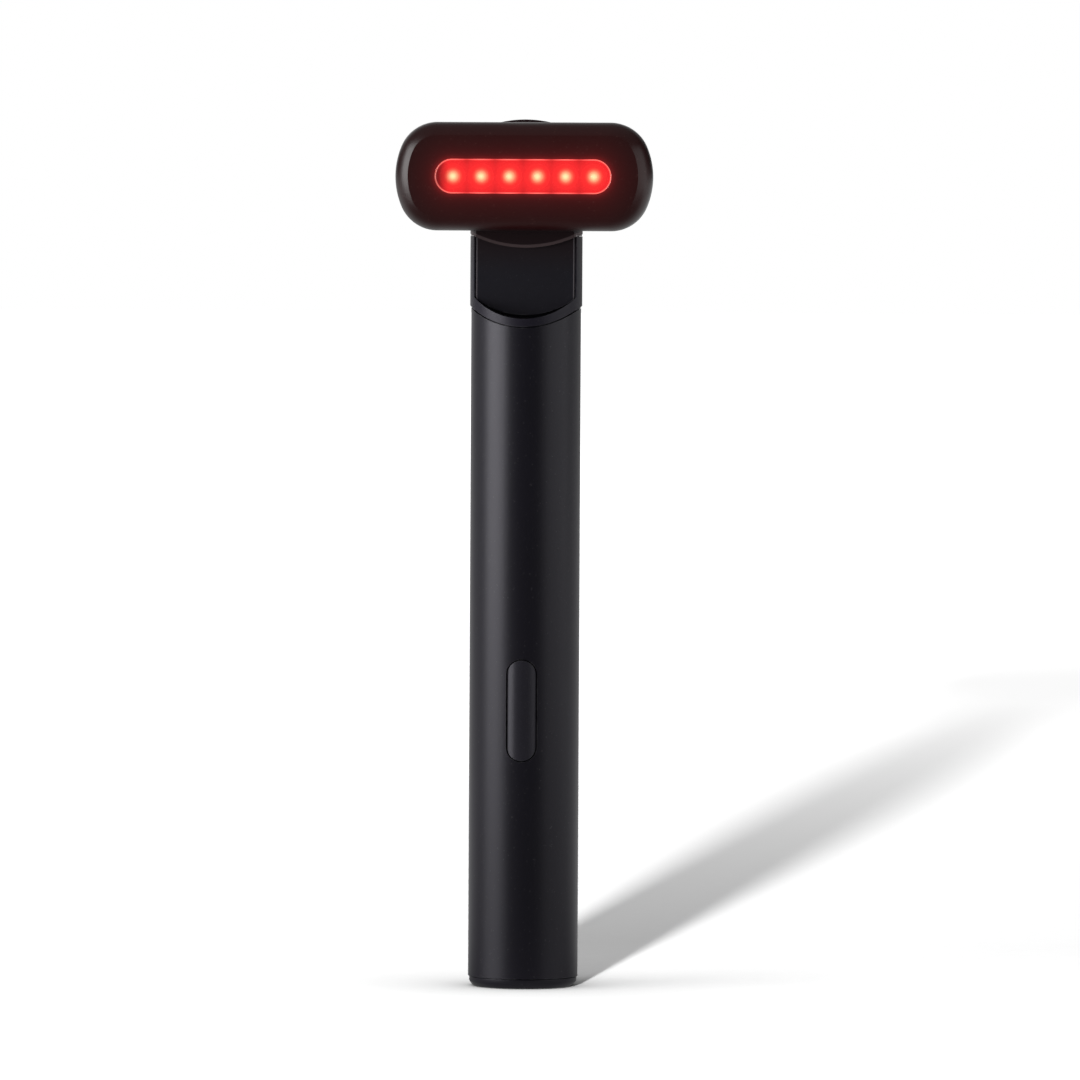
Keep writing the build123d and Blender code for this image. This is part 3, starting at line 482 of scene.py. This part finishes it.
def plain_finish(name, base, roughness, metallic=0.0, grain=3000.0, vary=0.2):
    """A finish for the inner pieces: moulded, drawn or pressed."""
    nodes, shader = new_finish(name, Metallic=metallic)
    texture = shared(nodes, "grain", Scale=grain, Coarse=0.3)
    marks = shared(nodes, "handling", Roughness=roughness, Spread=0.12)
    tone = nodes.mix(texture["Tone"], rgba(base, 1.0 - vary), rgba(base, 1.0 + vary))
    cover(nodes, shader, tone, marks["Roughness"], texture["Height"], 0.004 * MM)


def make_finishes():
    """Builds the shared groups, and every finish by name."""
    edge_wear_group()
    grain_group()
    handling_group()
    window_group()
    finish = bpy.context.scene.wand.finish
    black_finish("anodised_tube", finish.tube, 0.37, 9000.0, 0.003 * MM, 0.4, 0.6, ior=1.6)
    black_finish("textured_neck", finish.neck, 0.42, 5200.0, 0.010 * MM, 0.5, 0.5, painted_red_glow=0.4)
    inlay_finish(finish.panel)
    housing_finish(finish.neck)
    black_finish("button_plastic", finish.button, 0.35, 6500.0, 0.004 * MM, 0.3, 0.5, ior=1.6)
    head_finish(finish.head, finish.glow)
    tray_finish(finish.glow)
    light_finish(finish.glow)
    lens_finish()
    plain_finish("moulded_grey", (0.10, 0.10, 0.11), 0.55)
    plain_finish("solder_mask", (0.02, 0.13, 0.06), 0.35)
    plain_finish("chip_resin", (0.02, 0.02, 0.02), 0.6)
    plain_finish("bright_steel", (0.62, 0.62, 0.64), 0.28, 1.0, 5000.0, 0.08)
    plain_finish("cell_film", (0.05, 0.12, 0.40), 0.35)
    plain_finish("soft_rubber", (0.015, 0.015, 0.015), 0.7)
    plain_finish("turned_brass", (0.70, 0.50, 0.22), 0.3, 1.0, 4000.0, 0.1)
    plain_finish("amber_film", (0.50, 0.22, 0.04), 0.3)
    plain_finish("lead_sleeve", (0.40, 0.03, 0.03), 0.5)


def paint(node, material):
    """Gives a frame node one of the finishes."""
    slots = frame["nodes"][node].data.materials
    slots.clear()
    slots.append(bpy.data.materials[material])


# ---- modelling steps ----------------------------------------------------------------------

def ready():
    """Object mode, with nothing selected."""
    if bpy.context.object and bpy.context.object.mode != "OBJECT":
        bpy.ops.object.mode_set(mode="OBJECT")
    bpy.ops.object.select_all(action="DESELECT")


def work_on(piece):
    """Makes the piece the active one."""
    ready()
    piece.select_set(True)
    bpy.context.view_layer.objects.active = piece


def drum(name, radius, low, high, axis="Z", place=(0, 0, 0), sides=ROUND_STEPS):
    """A solid cylinder between two levels of an axis, with its corners off the other axes."""
    ready()
    level = Vector(place)
    level["XYZ".index(axis)] = (low + high) / 2
    step = math.pi / sides
    turn = {"Y": (math.pi / 2, step, 0), "Z": (0, 0, step)}[axis]
    bpy.ops.mesh.primitive_cylinder_add(vertices=sides, radius=radius, depth=high - low,
                                        location=level, rotation=turn)
    piece = bpy.context.object
    piece.name = piece.data.name = name
    bpy.ops.object.transform_apply(location=True, rotation=True, scale=True)
    return piece


def block(name, low, high):
    """A box between two corners."""
    ready()
    low, high = Vector(low), Vector(high)
    bpy.ops.mesh.primitive_cube_add(size=1, location=(low + high) / 2, scale=high - low)
    piece = bpy.context.object
    piece.name = piece.data.name = name
    bpy.ops.object.transform_apply(location=True, rotation=True, scale=True)
    return piece


def arch(radius, low, high, middle_z):
    """A tool for a fine arc seen from the front: a drum along Y between two levels."""
    return drum("tool", radius, low, high, "Y", (0, 0, middle_z), 360)


def edit(piece):
    """Opens the piece in edit mode."""
    work_on(piece)
    bpy.ops.object.mode_set(mode="EDIT")


def choose(kind, test):
    """In edit mode, selects the vertices, edges or faces that pass a test."""
    bpy.ops.mesh.select_mode(type=kind)
    bpy.ops.mesh.select_all(action="DESELECT")
    bpy.ops.object.mode_set(mode="OBJECT")
    data = bpy.context.object.data
    if kind == "VERT":
        for vertex in data.vertices:
            vertex.select = test(vertex.co)
    elif kind == "EDGE":
        for edge in data.edges:
            first, second = (data.vertices[index].co for index in edge.vertices)
            edge.select = test(first, second)
    else:
        for face in data.polygons:
            face.select = test(face.center, face.normal)
    bpy.ops.object.mode_set(mode="EDIT")


def combine(piece, tool, operation="DIFFERENCE"):
    """Cuts, joins or meets a piece with a tool, which is used up."""
    work_on(piece)
    made = piece.modifiers.new("Boolean", "BOOLEAN")
    made.operation, made.object, made.solver = operation, tool, "EXACT"
    bpy.ops.object.modifier_apply(modifier=made.name)
    bpy.data.objects.remove(tool)


def soften(piece, width, segments=3, angle=30.0):
    """Rounds a piece's sharp edges a little, and shades the rest smooth."""
    edit(piece)
    bpy.ops.mesh.select_all(action="SELECT")
    bpy.ops.mesh.remove_doubles(threshold=0.0005 * MM)
    bpy.ops.mesh.normals_make_consistent(inside=False)
    bpy.ops.object.mode_set(mode="OBJECT")
    work_on(piece)
    bpy.ops.object.shade_smooth_by_angle(angle=math.radians(angle))
    made = piece.modifiers.new("Bevel", "BEVEL")
    made.width, made.segments = width, segments
    made.limit_method, made.angle_limit = "ANGLE", math.radians(angle)
    made.miter_outer = "MITER_ARC"
    bpy.ops.object.modifier_apply(modifier=made.name)
    bpy.ops.object.shade_smooth_by_angle(angle=math.radians(50))
    made = piece.modifiers.new("Weighted Normal", "WEIGHTED_NORMAL")
    made.keep_sharp = True
    bpy.ops.object.modifier_apply(modifier=made.name)


def stretched(name, full_length, width, low, high, axis, along, place, sides=96):
    """A round-ended bar: a drum whose two halves are moved apart."""
    lane = "XYZ".index(along)
    piece = drum(name, width / 2, low, high, axis, place, sides)
    edit(piece)
    for side in (1, -1):
        choose("VERT", lambda co: (co[lane] - place[lane]) * side > 0)
        shift = [0, 0, 0]
        shift[lane] = side * (full_length - width) / 2
        bpy.ops.transform.translate(value=shift)
    ready()
    return piece


def bar(name, inset, front_y, back_y, sides=256):
    """A solid of the head's outline: a drum drawn out to four corners and two bowed ends."""
    corner, end = HEAD_CORNER - inset, HEAD_END - inset
    end_x = front_high.x - HEAD_END
    corner_z = (front_high.z - front_low.z) / 2 - inset - corner
    corner_x = end_x + math.sqrt((end - corner) ** 2 - corner_z ** 2)
    bow = corner * corner_z / (end - corner)
    piece = drum(name, corner, front_y, back_y, "Y", (0, 0, swivel_z), sides)
    edit(piece)
    for side in (1, -1):
        for level in (1, -1):
            choose("VERT", lambda co: 0 < co.x * side < corner * 1.01
                   and (co.z - swivel_z) * level > bow)
            bpy.ops.transform.translate(value=(side * corner_x, 0, level * corner_z))
        choose("VERT", lambda co: 0 < co.x * side < corner * 1.01)
        bpy.ops.transform.resize(value=(end / corner, 1, end / corner),
                                 center_override=(0, 0, swivel_z))
        bpy.ops.transform.translate(value=(side * end_x, 0, 0))
    ready()
    return piece


def rim(piece, normal_y, radius, start, stop, steps):
    """Rolls the edge of a flat end inwards, in small steps of an arc between two slopes."""
    edit(piece)
    choose("FACE", lambda middle, normal: normal.y * normal_y > 0.99)
    slopes = [math.radians(start + (stop - start) * index / steps) for index in range(steps + 1)]
    for first, second in zip(slopes, slopes[1:]):
        bpy.ops.mesh.inset(thickness=radius * (math.sin(first) - math.sin(second)),
                           depth=radius * (math.cos(second) - math.cos(first)))
    ready()


def divide(piece, axis, *places):
    """Cuts a piece's faces along planes across an axis, to keep them simple round openings."""
    edit(piece)
    normal = [float(axis == other) for other in "XYZ"]
    for place in places:
        bpy.ops.mesh.select_all(action="SELECT")
        bpy.ops.mesh.bisect(plane_co=[place * part for part in normal], plane_no=normal)
    ready()


def merged_copy(name, node):
    """A copy of a frame node with its loose triangles joined and its flat faces made whole."""
    ready()
    piece = bpy.data.objects.new(name, frame["nodes"][node].data.copy())
    piece.data.name = name
    piece.data.materials.clear()
    bpy.context.scene.collection.objects.link(piece)
    edit(piece)
    bpy.ops.mesh.select_all(action="SELECT")
    bpy.ops.mesh.remove_doubles(threshold=0.001 * MM)
    bpy.ops.mesh.normals_make_consistent(inside=False)
    bpy.ops.mesh.dissolve_limited(angle_limit=math.radians(0.5))
    ready()
    return piece


def done(piece, node, body, material):
    """Gives a finished piece its material, and puts it in a frame node's place."""
    piece.data.materials.clear()
    piece.data.materials.append(bpy.data.materials[material])
    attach(piece, body)
    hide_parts(node)


INSIDE = {
    "bright_steel": ("charging_socket", "board_screw", "battery_tabs", "vibration_motor",
                     "motor_shaft", "friction_washer", "swivel_shaft", "shaft_screws",
                     "index_plate", "retaining_clip", "led_board_screws"),
    "moulded_grey": ("inner_chassis", "button_guide"),
    "solder_mask": ("charge_board", "main_board"),
    "chip_resin": ("socket_tongue", "board_components", "switch_body", "switch_plunger",
                   "temperature_sensor"),
    "soft_rubber": ("foot_seal", "neck_seal", "motor_sleeve"),
    "cell_film": ("battery_cell",),
    "turned_brass": ("eccentric_weight",),
    "amber_film": ("heater_film",),
    "lead_sleeve": ("head_leads", "handle_leads"),
}


class WAND_OT_inside(bpy.types.Operator):
    """Gives the pieces inside the wand their finishes"""
    bl_idname = "wand.inside"
    bl_label = "Inner Pieces"

    def execute(self, context):
        for material, nodes in INSIDE.items():
            for node in nodes:
                paint(node, material)
        return {"FINISHED"}


class WAND_OT_lights(bpy.types.Operator):
    """Gives the pieces behind the window their finishes: the lights glow as lamps, the tray and
    board with a painted glow
    """
    bl_idname = "wand.lights"
    bl_label = "Lit Pieces"

    def execute(self, context):
        # the tray and board get a painted glow, the leds their own light
        for node, material in {"light_tray": "lit_tray", "led_board": "lit_tray",
                               "leds": "light"}.items():
            paint(node, material)
        return {"FINISHED"}


# ---- pieces -------------------------------------------------------------------------------

class WAND_OT_tube(bpy.types.Operator):
    """Models the handle tube: drawn, scooped at the top and slotted for the button"""
    bl_idname = "wand.tube"
    bl_label = "Handle Tube"

    def execute(self, context):
        sizes = context.scene.wand.sizes
        bore = tube_radius - TUBE_WALL
        tube = drum("handle_tube_shell", tube_radius, tube_low.z, tube_high.z + MM)
        combine(tube, drum("tool", bore, -REACH, REACH * 3))
        combine(tube, arch(TUBE_SCOOP, -REACH, REACH, scoop_z - 0.10 * MM))
        slot = stretched("tool", sizes.button_length + 2 * SLIDE_GAP,
                         sizes.button_width + 2 * SLIDE_GAP, -REACH, -bore / 2, "Y", "Z",
                         (0, 0, button_z))
        combine(tube, slot)
        soften(tube, 0.08 * MM)
        done(tube, "handle_tube", "handle", "anodised_tube")
        return {"FINISHED"}


class WAND_OT_foot(bpy.types.Operator):
    """Models the foot cap: a bevelled foot with the socket's opening, and a collar"""
    bl_idname = "wand.foot"
    bl_label = "Foot Cap"

    def execute(self, context):
        radius = tube_radius - FOOT_INSET
        foot = drum("foot_cap_shell", radius, 0, tube_low.z - 0.08 * MM)
        edit(foot)
        choose("EDGE", lambda first, second: first.z < MM * 0.1 and second.z < MM * 0.1)
        bpy.ops.mesh.bevel(offset=1.02 * MM, segments=8, profile=0.36)
        ready()
        collar = tube_radius - TUBE_WALL - 0.05 * MM
        combine(foot, drum("tool", collar, MM, foot_high.z), "UNION")
        combine(foot, drum("tool", collar - 1.8 * MM, tube_low.z, REACH))
        sleeve = (side + 1.8 * MM for side in SOCKET_OPENING)
        combine(foot, stretched("tool", *sleeve, MM, 5.6 * MM, "Z", "X", (0, 0, 0)), "UNION")
        combine(foot, stretched("tool", *SOCKET_OPENING, -REACH, REACH, "Z", "X", (0, 0, 0)))
        soften(foot, 0.10 * MM)
        done(foot, "foot_cap", "handle", "anodised_tube")
        return {"FINISHED"}


class WAND_OT_button(bpy.types.Operator):
    """Models the button: a crowned cap with a retaining flange and a stem"""
    bl_idname = "wand.button"
    bl_label = "Button"

    def execute(self, context):
        sizes = context.scene.wand.sizes
        place = (0, 0, button_z)
        size = sizes.button_length, sizes.button_width
        front = button_low.y
        flange_front = -math.sqrt((tube_radius - TUBE_WALL) ** 2
                                  - (sizes.button_width / 2 + FLANGE_LIP) ** 2) + 0.3 * MM
        cap = stretched("button_cap_body", *size, front - MM, flange_front, "Y", "Z", place)
        crown = drum("tool", BUTTON_CROWN, 0, REACH, "Z", (0, front + BUTTON_CROWN, 0))
        combine(cap, crown, "INTERSECT")
        edit(cap)
        bpy.ops.mesh.select_all(action="SELECT")
        bpy.ops.mesh.remove_doubles(threshold=0.0005 * MM)
        ready()
        soften(cap, 0.40 * MM, 5, 60.0)
        flange = stretched("tool", size[0] + 2 * FLANGE_LIP, size[1] + 2 * FLANGE_LIP,
                           flange_front, flange_front + 0.8 * MM, "Y", "Z", place)
        combine(cap, flange, "UNION")
        stem = drum("tool", 1.1 * MM, flange_front, button_high.y, "Y", place, 48)
        combine(cap, stem, "UNION")
        bpy.ops.object.shade_smooth_by_angle(angle=math.radians(50))
        done(cap, "button_cap", "button", "button_plastic")
        return {"FINISHED"}


def housing_lip():
    """A proud lip along the housing's lower end, with a tongue each side behind it."""
    low = housing_face_z - LIP_DROP
    top = low + 4.2 * MM
    middle_z = low + LIP_RADIUS
    lip = drum("tool", neck_radius + 0.02 * MM, low, top)
    combine(lip, arch(LIP_RADIUS, housing_low.y - 0.03 * MM, 4.0 * MM, middle_z), "INTERSECT")
    combine(lip, arch(LIP_RADIUS - 1.25 * MM, -REACH, REACH, middle_z))
    tongue = drum("tool", neck_radius - 0.10 * MM, neck_high.z + 0.04 * MM, top - 0.1 * MM)
    combine(tongue, block("tool", (-REACH, -3.0 * MM, 0), (REACH, 3.0 * MM, REACH * 2)),
            "INTERSECT")
    combine(lip, tongue, "UNION")
    clear = 9.12 * MM
    combine(lip, block("tool", (-clear, -4.06 * MM, 0), (clear, REACH, REACH * 2)))
    return lip


def neck_seam():
    """A step that closes the seam over the tube, shallower at the two sides."""
    seam = drum("tool", tube_radius - 0.60 * MM, tube_top_z - 4 * MM, neck_high.z - 9 * MM)
    pads = drum("tool", tube_radius - 0.07 * MM, tube_top_z - 3.5 * MM, neck_high.z - 10 * MM)
    inner = 9.0 * MM
    combine(pads, block("tool", (-inner, -REACH, 0), (inner, REACH, REACH * 3)))
    combine(seam, pads, "UNION")
    combine(seam, arch(TUBE_SCOOP - 0.02 * MM, -REACH, REACH, scoop_z), "INTERSECT")
    combine(seam, arch(TUBE_SCOOP - 0.6 * MM, -REACH, REACH, scoop_z))
    return seam


class WAND_OT_neck(bpy.types.Operator):
    """Models the neck frame: a plug, a scooped ring, and cheeks either side of a recess"""
    bl_idname = "wand.neck"
    bl_label = "Neck Frame"

    def execute(self, context):
        frame = drum("neck_frame_moulding", neck_radius, tube_top_z - 4 * MM, neck_high.z)
        combine(frame, arch(TUBE_SCOOP - SEAM, -REACH, REACH, scoop_z), "INTERSECT")
        combine(frame, neck_seam(), "UNION")
        combine(frame, drum("tool", 8.5 * MM, neck_low.z, ring_z), "UNION")
        groove = drum("tool", 12 * MM, neck_low.z + 2.1 * MM, neck_low.z + 3.4 * MM)
        combine(groove, drum("tool", 7.5 * MM, 0, REACH * 2))
        combine(frame, groove)
        combine(frame, arch(NECK_ARC, -REACH, REACH, housing_face_z - SEAM + NECK_ARC))
        recess_z = ring_z + RECESS_RADIUS
        combine(frame, arch(RECESS_RADIUS, -REACH, RECESS_FACE, recess_z))
        pocket = arch(RECESS_RADIUS, RECESS_FACE - MM, -2.55 * MM, recess_z)
        combine(pocket, block("tool", (-POCKET_HALF, -REACH, 0), (POCKET_HALF, REACH, REACH * 2)),
                "INTERSECT")
        combine(frame, pocket)
        combine(frame, drum("tool", 6.65 * MM, 0, ring_z - 1.2 * MM))
        upper = drum("tool", 8.45 * MM, ring_z - 1.2 * MM, REACH * 2)
        combine(upper, block("tool", (-REACH, -REACH, 0), (REACH, -1.2 * MM, REACH * 3)))
        combine(frame, upper)
        divide(frame, "Z", *(z * MM for z in (122.0, 122.3, 122.8, 123.4, 126.0)))
        soften(frame, 0.13 * MM, 3)
        done(frame, "neck_frame", "handle", "textured_neck")
        return {"FINISHED"}


class WAND_OT_housing(bpy.types.Operator):
    """Models the swivel housing and its rear cover"""
    bl_idname = "wand.housing"
    bl_label = "Swivel Housing"

    def execute(self, context):
        for node in ("swivel_housing", "housing_cover"):
            piece = merged_copy(node + "_moulding", node)
            if node == "swivel_housing":
                combine(piece, housing_lip(), "UNION")
            soften(piece, 0.06 * MM, 2)
            done(piece, node, "handle", "housing_plastic")
        return {"FINISHED"}


class WAND_OT_panel(bpy.types.Operator):
    """Models the flat inlay in the neck's recess"""
    bl_idname = "wand.panel"
    bl_label = "Neck Inlay"

    def execute(self, context):
        panel = block("neck_panel_inlay", panel_low - Vector((0, 0.27 * MM, 0)), panel_high)
        scoop = neck_radius + 4.7 * MM
        combine(panel, arch(scoop, -REACH, REACH, panel_low.z + scoop), "INTERSECT")
        combine(panel, arch(NECK_ARC, -REACH, REACH, housing_face_z - SEAM + NECK_ARC))
        edit(panel)
        side = panel_high.x - 0.01 * MM
        corner_z = panel_low.z + 6 * MM
        choose("EDGE", lambda first, second: abs(first.x) > side and abs(second.x) > side
               and abs(first.y - second.y) > MM and first.z < corner_z)
        bpy.ops.mesh.bevel(offset=0.8 * MM, segments=8)
        ready()
        divide(panel, "X", -5.0 * MM, 0.0, 5.0 * MM)
        soften(panel, 0.16 * MM, 4, 60.0)
        done(panel, "neck_panel", "handle", "inlay")
        return {"FINISHED"}


class WAND_OT_head(bpy.types.Operator):
    """Models the head's front and rear shells"""
    bl_idname = "wand.head"
    bl_label = "Head Shells"

    def execute(self, context):
        sizes = context.scene.wand.sizes
        seam_y = front_high.y
        rim_depth = RIM_RADIUS * math.cos(math.radians(RIM_SLOPE))
        front = bar("head_front_cover", 0, front_low.y + rim_depth, seam_y)
        rim(front, -1, RIM_RADIUS, 90, RIM_SLOPE, 14)
        hollow = bar("tool", HEAD_WALL, front_low.y + rim_depth + 0.3 * MM, REACH)
        rim(hollow, -1, RIM_RADIUS - HEAD_WALL, 90, 30, 6)
        combine(front, hollow)
        divide(front, "X", *(x * MM for x in (-18.5, -12.0, 0.0, 12.0, 18.5)))
        divide(front, "Z", swivel_z)
        for x in (-1, 1):
            post_x = x * (front_high.x - 4.2 * MM)
            post = drum("tool", 1.6 * MM, front_low.y + MM, light_high.y - 0.05 * MM, "Y",
                        (post_x, 0, swivel_z), 48)
            combine(front, post, "UNION")
        opening = stretched("tool", sizes.window_length + 0.1 * MM, sizes.window_height + 0.1 * MM,
                            -REACH, 0, "Y", "X", (0, 0, swivel_z))
        combine(front, opening)
        soften(front, 0.08 * MM, 2, 20.0)
        done(front, "head_front_shell", "head", "head_plastic")
        back_y = rear_high.y
        rear = bar("head_rear_cover", 0, seam_y + SEAM, back_y - 1.6 * MM)
        rim(rear, 1, 1.6 * MM, 90, 0.5, 8)
        lip = HEAD_WALL + 0.05 * MM
        combine(rear, bar("tool", lip, rear_low.y, seam_y + MM), "UNION")
        combine(rear, bar("tool", lip + 0.8 * MM, -REACH, back_y - 1.3 * MM))
        combine(rear, drum("tool", 3.55 * MM, -REACH, REACH, "Y", (0, 0, swivel_z), 96))
        soften(rear, 0.08 * MM, 2, 20.0)
        done(rear, "head_rear_shell", "head", "head_plastic")
        return {"FINISHED"}


class WAND_OT_window(bpy.types.Operator):
    """Models the clear window and its flange"""
    bl_idname = "wand.window"
    bl_label = "Window"

    def execute(self, context):
        sizes = context.scene.wand.sizes
        place = (0, 0, swivel_z)
        flange_y = lens_high.y - 0.7 * MM
        lens = stretched("window_pane", sizes.window_length, sizes.window_height, lens_low.y,
                         flange_y + 0.1 * MM, "Y", "X", place)
        flange = stretched("tool", lens_high.x * 2, lens_high.z - lens_low.z, flange_y,
                           lens_high.y, "Y", "X", place)
        combine(lens, flange, "UNION")
        soften(lens, 0.14 * MM, 3)
        done(lens, "window_lens", "head", "window_clear")
        return {"FINISHED"}


# ---- studio -------------------------------------------------------------------------------

def softbox(name, radiance, azimuth, height, width, target_z, tall=0.44, distance=0.60):
    """A rectangular light that faces the wand; azimuth 0 is in front and 90 to its right."""
    angle = math.radians(azimuth)
    place = Vector((math.sin(angle), -math.cos(angle), 0)) * distance + Vector((0, 0, height))
    data = bpy.data.lights.new(name, "AREA")
    data.shape, data.size, data.size_y = "RECTANGLE", width, tall
    data.energy = radiance * width * tall * math.pi
    lamp = bpy.data.objects.new(name, data)
    aim = (Vector((0, 0, target_z)) - place).to_track_quat("-Z", "Y")
    lamp.matrix_world = Matrix.Translation(place) @ aim.to_matrix().to_4x4()
    lamp.visible_camera = False
    bpy.context.scene.collection.objects.link(lamp)


def studio_world(ambient):
    """White to the camera; to the wand, dim in front and bright behind."""
    world = bpy.data.worlds.new("studio")
    bpy.context.scene.world = world
    world.use_nodes = True
    nodes = Nodes(world.node_tree)
    rays = nodes.add("ShaderNodeLightPath").outputs
    toward = nodes.add("ShaderNodeTexCoord").outputs["Generated"]
    turn = math.radians(14.0)
    back = (-math.sin(turn), math.cos(turn), 0)
    behind = nodes.add("ShaderNodeVectorMath", {0: toward, 1: back},
                       operation="DOT_PRODUCT").outputs["Value"]
    sharp = nodes.math("MAXIMUM", rays["Is Glossy Ray"], rays["Is Transmission Ray"])
    backdrop = nodes.ramp(behind, 0.86, 0.97, 0.012, 0.75)
    up = nodes.add("ShaderNodeSeparateXYZ", {0: toward}).outputs["Z"]
    backdrop = nodes.math("ADD", backdrop, nodes.ramp(up, 0.45, 0.95, 0.0, 0.14))
    above = nodes.math("MULTIPLY", nodes.ramp(behind, 0.50, 0.90), nodes.ramp(up, 0.16, 0.34))
    backdrop = nodes.math("MULTIPLY_ADD", above, 0.45, backdrop)
    level = nodes.add("ShaderNodeMix", {0: sharp, 2: ambient, 3: backdrop}).outputs[0]
    level = nodes.add("ShaderNodeMix", {0: rays["Is Camera Ray"], 2: level, 3: 1.0}).outputs[0]
    background = world.node_tree.nodes["Background"]
    background.inputs["Color"].default_value = (1, 1, 1, 1)
    link(nodes, level, background.inputs["Strength"])


def studio_floor():
    """A white floor that keeps the wand's shadow, lit by a low lamp that reaches nothing else; its
    glow has a painted contact shadow under the wand and rises with distance as a painted fill that
    fades the shadow further back.
    """
    bpy.ops.mesh.primitive_plane_add(size=30.0, location=(0, 0, 0))
    floor = bpy.context.object
    floor.name = "floor"
    nodes, shader = new_finish("floor_paper", Roughness=1.0, Emission_Strength=1.0,
                               Specular_IOR_Level=0.0)
    rays = nodes.add("ShaderNodeLightPath").outputs
    place = nodes.axes()
    depth, aside = place["Y"], nodes.math("ABSOLUTE", place["X"])
    # painted contact shadow: ambient occlusion darkens the floor's colour and glow under and
    # beside the wand
    corner = nodes.add("ShaderNodeAmbientOcclusion", {"Distance": 0.06}, samples=16).outputs["AO"]
    fibre = nodes.ramp(nodes.noise(300.0, 4.0), 0.0, 1.0, 0.79, 0.81)
    paper = nodes.math("MULTIPLY", nodes.math("MULTIPLY", fibre, corner), rays["Is Camera Ray"])
    link(nodes, nodes.mix(paper, rgba((0, 0, 0)), rgba((1, 1, 1))), shader["Base Color"])
    # painted fill: the floor's glow to the camera rises with distance and to the sides, so the
    # cast shadow fades further back
    painted_fill = nodes.ramp(depth, 0.1, 1.0, 0.0, 0.66, smooth=False)
    painted_fill = nodes.math("ADD", painted_fill, nodes.ramp(depth, 1.0, 3.0, 0.0, 0.3))
    painted_fill = nodes.math("ADD", painted_fill, nodes.ramp(aside, 0.5, 1.5))
    seen = nodes.math("MULTIPLY", painted_fill, corner)
    mirrored = nodes.ramp(depth, -0.06, 0.12, 0.08, 0.60)
    spread = nodes.add("ShaderNodeMix", {0: rays["Is Glossy Ray"], 2: 0.5, 3: mirrored}).outputs[0]
    level = nodes.add("ShaderNodeMix", {0: rays["Is Camera Ray"], 2: spread, 3: seen}).outputs[0]
    link(nodes, nodes.mix(level, rgba((0, 0, 0)), rgba((1, 1, 1))), shader["Emission Color"])
    floor.data.materials.append(bpy.data.materials["floor_paper"])
    lit = bpy.data.collections.new("floor_only")
    lit.objects.link(floor)
    data = bpy.data.lights.new("low_lamp", "POINT")
    data.shadow_soft_size = 0.018
    data.energy = 120.0
    data.use_nodes = True
    nodes = Nodes(data.node_tree)
    even = nodes.add("ShaderNodeLightFalloff", {"Strength": 1.0}).outputs["Constant"]
    link(nodes, even, data.node_tree.nodes["Emission"].inputs["Strength"])
    lamp = bpy.data.objects.new("low_lamp", data)
    azimuth = math.radians(5.3)
    lamp.location = (-0.9 * math.sin(azimuth), -0.9 * math.cos(azimuth), 0.2563)
    lamp.light_linking.receiver_collection = lit
    bpy.context.scene.collection.objects.link(lamp)


def studio_camera():
    """A long lens a little above the middle of the wand and to its right, tipped down slightly."""
    data = bpy.data.cameras.new("camera")
    data.sensor_width, data.lens = 36.0, 300.7
    camera = bpy.data.objects.new("camera", data)
    turn, tip, roll = math.radians(2.8), math.radians(1.90), math.radians(0.304)
    distance, aside, height = 1.603, 2.67 * MM, 132.5 * MM
    place = Vector((aside, -distance, height))
    camera.matrix_world = (Matrix.Rotation(turn, 4, "Z") @ Matrix.Translation(place)
                           @ Matrix.Rotation(math.radians(90) - tip, 4, "X")
                           @ Matrix.Rotation(roll, 4, "Z"))
    bpy.context.scene.collection.objects.link(camera)
    bpy.context.scene.camera = camera


class WAND_OT_studio(bpy.types.Operator):
    """Adds the floor, the lights and the camera"""
    bl_idname = "wand.studio"
    bl_label = "Studio"

    def execute(self, context):
        studio = context.scene.wand.studio
        studio_world(studio.ambient)
        studio_floor()
        softbox("left_softbox", studio.left, -63.5, height=0.24, width=0.50, target_z=0.10)
        softbox("right_softbox", studio.right, 70.0, height=0.21, width=0.65, target_z=0.09)
        studio_camera()
        context.scene.view_settings.view_transform = "Standard"
        return {"FINISHED"}


class WAND_PT_build(bpy.types.Panel):
    """Lists the wand's build steps"""
    bl_label = "Massage Wand"
    bl_space_type = "VIEW_3D"
    bl_region_type = "UI"
    bl_category = "Wand"

    def draw(self, context):
        for operator in OPERATORS:
            self.layout.operator(operator.bl_idname)


OPERATORS = (WAND_OT_inside, WAND_OT_lights, WAND_OT_tube, WAND_OT_foot, WAND_OT_button,
             WAND_OT_neck, WAND_OT_housing, WAND_OT_panel, WAND_OT_head, WAND_OT_window,
             WAND_OT_studio)
CLASSES = (WandSizes, WandFinish, WandStudio, WandSettings, *OPERATORS, WAND_PT_build)


def register():
    """Registers the classes and the scene's settings."""
    for item in CLASSES:
        bpy.utils.register_class(item)
    bpy.types.Scene.wand = PointerProperty(type=WandSettings)


def unregister():
    """Takes the settings and the classes away again."""
    del bpy.types.Scene.wand
    for item in reversed(CLASSES):
        bpy.utils.unregister_class(item)


def main():
    """Builds the wand and its studio."""
    register()
    make_finishes()
    for operator in OPERATORS:
        getattr(bpy.ops.wand, operator.bl_idname.split(".")[1])()


if __name__ == "__main__":
    main()
